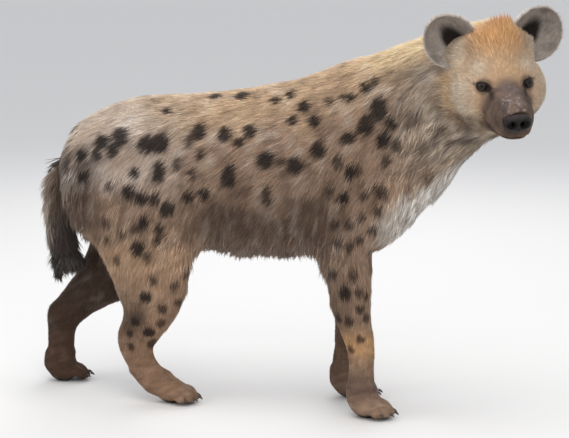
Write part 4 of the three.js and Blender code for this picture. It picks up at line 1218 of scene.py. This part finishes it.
def make_lids(name, side, tree):
    """The lids: a skirt that runs from the eyeball at the slit's edge out to the face."""
    centre, gaze, across, up = eye_frame(side)
    points = []
    for k, (share, height) in enumerate(LID_RINGS):
        grown = (share - 1) * SLIT["half"] * 0.62
        for i in range(LID_STEPS):
            turn = 2 * math.pi * i / LID_STEPS
            reach = SLIT["upper"] if turn < math.pi else SLIT["lower"]
            a = (SLIT["half"] + grown) * math.cos(turn)
            b = reach * math.copysign(abs(math.sin(turn)) ** 1.4, math.sin(turn))
            b += grown * math.sin(turn) * 0.6
            if k < RINGS_ON_EYE:
                front = math.sqrt(max(EYE_RADIUS**2 - a * a - b * b, 1e-6))
                points.append(centre + unit(across * a + up * b + gaze * front) * (EYE_RADIUS + height))
            else:
                over = Vector(centre + across * a + up * b + gaze * EYE_RADIUS)
                near, normal = tree.find_nearest(over)[:2]
                points.append(near + normal * height)
    faces = []
    for k in range(len(LID_RINGS) - 1):
        for i in range(LID_STEPS):
            low, high, j = k * LID_STEPS, (k + 1) * LID_STEPS, (i + 1) % LID_STEPS
            faces.append((low + i, high + i, high + j, low + j)[::side])
    mesh = bpy.data.meshes.new(name)
    mesh.from_pydata([tuple(p) for p in points], [], faces)
    lids = new_object(name, mesh)
    shares = np.repeat([share for share, _ in LID_RINGS], LID_STEPS)
    relax(lids, 3, 0.5, (shares > 1.05).astype(float))
    points = points_of(lids)
    paint(mesh, mix(plain("rim", points), face_colour(points), smooth(1.2, 1.7, shares)))
    shade_smooth(lids)
    return lids


def make_nose():
    nose = copy_of_nodes(["nose"], "nose_leather")
    apply(nose, "REMESH", mode="VOXEL", voxel_size=NOSE_VOXEL)
    relax(nose, 5)
    points = points_of(nose)
    h = to_head(points)
    x, y, z = h.T
    furrow = -0.0016 * bump(y, 0, 0.0014) * smooth(-0.05, -0.058, z) * smooth(0.12, 0.135, x)
    points = points + normals_of(nose) * furrow[:, None]
    hole = falls(0.0055, 0.0105, np.linalg.norm((folded(h) - NOSTRIL_AT) / [2.2, 1.15, 0.9], axis=1))
    points += (hole * -0.007)[:, None] * (TO_WORLD @ [1, 0.15, 0])
    set_points(nose, points)
    fur = smooth(-0.049, -0.038, z) + falls(0.112, 0.126, x)
    fur = np.clip(fur + 0.4 * noise(points, 0.006, 71), 0, 1)
    c = mix(plain("nose", points), PALETTE["muzzle"] * 0.8, fur)
    # Painted shade: the nostrils darkened deep inside.
    paint(nose.data, mix(c, c * 0.25, hole))
    shade_smooth(nose)
    return nose


def make_claws():
    """Each claw of the CAD part, rounded, with its node's name."""
    claws = []
    for leg, toe in itertools.product(LEGS, range(1, 5)):
        claw = copy_of_nodes([f"{leg}_claw_{toe}"], f"{leg}_horn_{toe}")
        apply(claw, "SUBSURF", levels=2, render_levels=2)
        shade_smooth(claw)
        claws.append((claw, f"{leg}_claw_{toe}"))
    return claws


# Ears and tail


def ear_egg(name, side, half, forward, raised):
    """A slightly pointed egg in the ear's place, of half sizes depth, width and length."""
    egg = ball(name, 56, 32, 1)
    p = points_of(egg)
    p[:, 1] *= 1 - 0.16 * np.maximum(p[:, 2], 0) ** 2
    p = p * half + [forward, 0, raised]
    turn = Euler([math.radians(-EAR_LEAN * side), 0, math.radians(EAR_TURN * side)], "XYZ").to_matrix()
    in_head = p @ np.array(turn).T + EAR_BASE * [1, side, 1]
    set_points(egg, in_head @ TO_WORLD.T + HEAD_ORIGIN)
    return egg


def make_ear(name, side):
    """The CAD part's ear cup, whole: its base runs on into the head's skin."""
    depth, width, length, wall = EAR_CUP.values()
    ear = ear_egg(name, side, [depth, width, length], 0, length - 0.016)
    half = [depth * 1.35, width - wall * 1.3, length - wall * 1.5]
    hollow = ear_egg("ear_hollow", side, half, depth * 0.35 + wall, length - 0.014)
    apply(ear, "BOOLEAN", object=hollow, operation="DIFFERENCE", solver="EXACT")
    bpy.data.objects.remove(hollow)
    apply(ear, "REMESH", mode="VOXEL", voxel_size=EAR_VOXEL)
    relax(ear, 8)
    shade_smooth(ear)
    return ear


def make_tail_skin():
    tail = copy_of_nodes(["tail"], "tail_skin")
    apply(tail, "REMESH", mode="VOXEL", voxel_size=TAIL_VOXEL)
    relax(tail, 60, 0.6)
    set_points(tail, points_of(tail) - normals_of(tail) * 0.004)
    shade_smooth(tail)
    return tail


# The coats, each grown on its own ground

UNDERCOAT = 0.03  # the most of a single lock's length
SOLE = 0.011  # up to this height the feet are bare
LONG_HAIR = 0.037  # where hair is longer than this, forked locks stand among the single ones


def near_opening(points):
    """Where no hair grows: in the eye openings and on the lips."""
    h = folded(to_head(points))
    return (opening_reach(h) < 0.0145) | (lip_reach(h) < 0.0034)


def takes_long_hair(points):
    """Where hair is long, except on the nape, where single locks lie closer."""
    return (hair_length(points) > LONG_HAIR) & (nape_share(points) < 0.05)


def grow_long_coat(skin, random):
    """Forked locks."""
    hair = roots_on(skin, 0.0038, random, takes_long_hair)
    root = hair["root"]
    along = lie_of(root, hair["normal"])
    length = hair_length(root) * random.uniform(0.7, 1.2, len(root))
    lift = random.uniform(0.06, 0.3, len(root))
    colour = coat_colour(root + along * length[:, None] * 0.5)
    hair |= {"along": along, "length": length, "lift": lift, "colour": colour}
    hair |= {"width": 0.0012 + 0.02 * length, "droop": 0.08, "curl": 0.14, "thick": 0.3, "soft": 0.5}
    grow_coat("long_coat", FORK, hair, random)


def takes_short_hair(points):
    """Everywhere but on the soles, the lips and the eye openings."""
    return (to_body(points)[:, 2] > SOLE) & ~near_opening(points)


def short_spacing(points):
    legs_up = smooth(0.3, 0.4, to_body(points)[:, 2])
    return np.where(head_share(points) > 0.5, 0.0022, 0.0026 - 0.0002 * legs_up)


def grow_short_coat(skin, random):
    """Single locks all over."""
    hair = roots_on(skin, short_spacing, random, takes_short_hair)
    root = hair["root"]
    along = lie_of(root, hair["normal"])
    length = np.minimum(hair_length(root), UNDERCOAT) * random.uniform(0.7, 1.25, len(root))
    lift = random.uniform(0.12, 0.36, len(root)) + 0.3 * nape_share(root)
    colour = coat_colour(root + along * length[:, None] * 0.45)
    hair |= {"along": along, "length": length, "lift": lift, "colour": colour}
    hair |= {"width": 0.0007 + 0.04 * length, "thick": 0.3, "sink": 0.0006}
    grow_coat("short_coat", SPIKE, hair, random)


def grow_ears(random):
    material = skin_finish()
    for side, word in SIDES:
        ear = make_ear(f"ear_skin_{word}", side)
        unwrap(ear)
        paint(ear.data, ear_colour(points_of(ear), normals_of(ear), side) * 0.8)
        keep(ear, material, [f"ear_{word}"])
        hair = roots_on(ear, 0.0021, random)
        root, normal = hair["root"], hair["normal"]
        along = unit(to_head(root) - EAR_FOOT * [1, side, 1]) @ TO_WORLD.T
        hair["along"] = laid(along + noises(root, 0.012, (31, 32, 33)) * 0.3, normal)
        hair["length"] = (0.0055 + 0.004 * ear_inside(normal)) * random.uniform(0.7, 1.3, len(root))
        hair["lift"] = random.uniform(0.15, 0.4, len(root))
        hair["colour"] = ear_colour(root, normal, side)
        hair |= {"width": 0.0011, "thick": 0.25, "sink": 0.0005}
        grow_coat(f"ear_coat_{word}", SPIKE, hair, random)


def grow_tail(random):
    """The brush: forked locks that hang along the tail's own line."""
    tail = make_tail_skin()
    unwrap(tail)
    paint(tail.data, tail_colour(points_of(tail)) * 0.6)
    keep(tail, under_material, ["tail"])
    hair = roots_on(tail, 0.0025, random)
    root, normal = hair["root"], hair["normal"]
    z = to_body(root)[:, 2]
    xs, zs = np.array(TAIL_LINE).T
    slope = np.interp(z, zs[::-1], np.gradient(xs, zs)[::-1])
    along = unit(np.stack([-slope, 0 * z, -np.ones(len(z))], 1))
    along = laid(along + noises(root, 0.03, (61, 62, 63)) * 0.2, normal, 0.85)
    length = np.interp(z, *TAIL_HAIR) * random.uniform(0.7, 1.15, len(root))
    lift = random.uniform(0.04, 0.2, len(root))
    colour = tail_colour(root + along * length[:, None] * 0.5)
    hair |= {"along": along, "length": length, "lift": lift, "colour": colour}
    hair |= {"width": 0.0026, "droop": 0.1, "soft": 0.45}
    grow_coat("tail_coat", FORK, hair, random)


# Build

make_camera()
make_studio()
random = np.random.default_rng(20)

coat_material = coat_finish()
under_material = skin_finish()

skin = make_skin()
lay_lips(skin)
refine(skin, face_near)
refine(skin, detail_near)
shape_mouth(skin)
shape_eyes(skin)
shade_smooth(skin)
unwrap(skin)
tree = tree_of(skin)
find_spots(tree, random)
paint(skin.data, coat_colour(points_of(skin)) * 0.85)
keep(skin, under_material, FLESH)

eye_material = eye_finish()
for side, word in SIDES:
    keep(make_eye(f"eyeball_{word}", side), eye_material, [f"eye_{word}"])
    keep(make_lids(f"eye_lids_{word}", side, tree), under_material)
keep(make_nose(), leather_finish(), ["nose"])
horn = claw_finish()
for claw, node in make_claws():
    keep(claw, horn, [node])

grow_long_coat(skin, random)
grow_short_coat(skin, random)
grow_ears(random)
grow_tail(random)
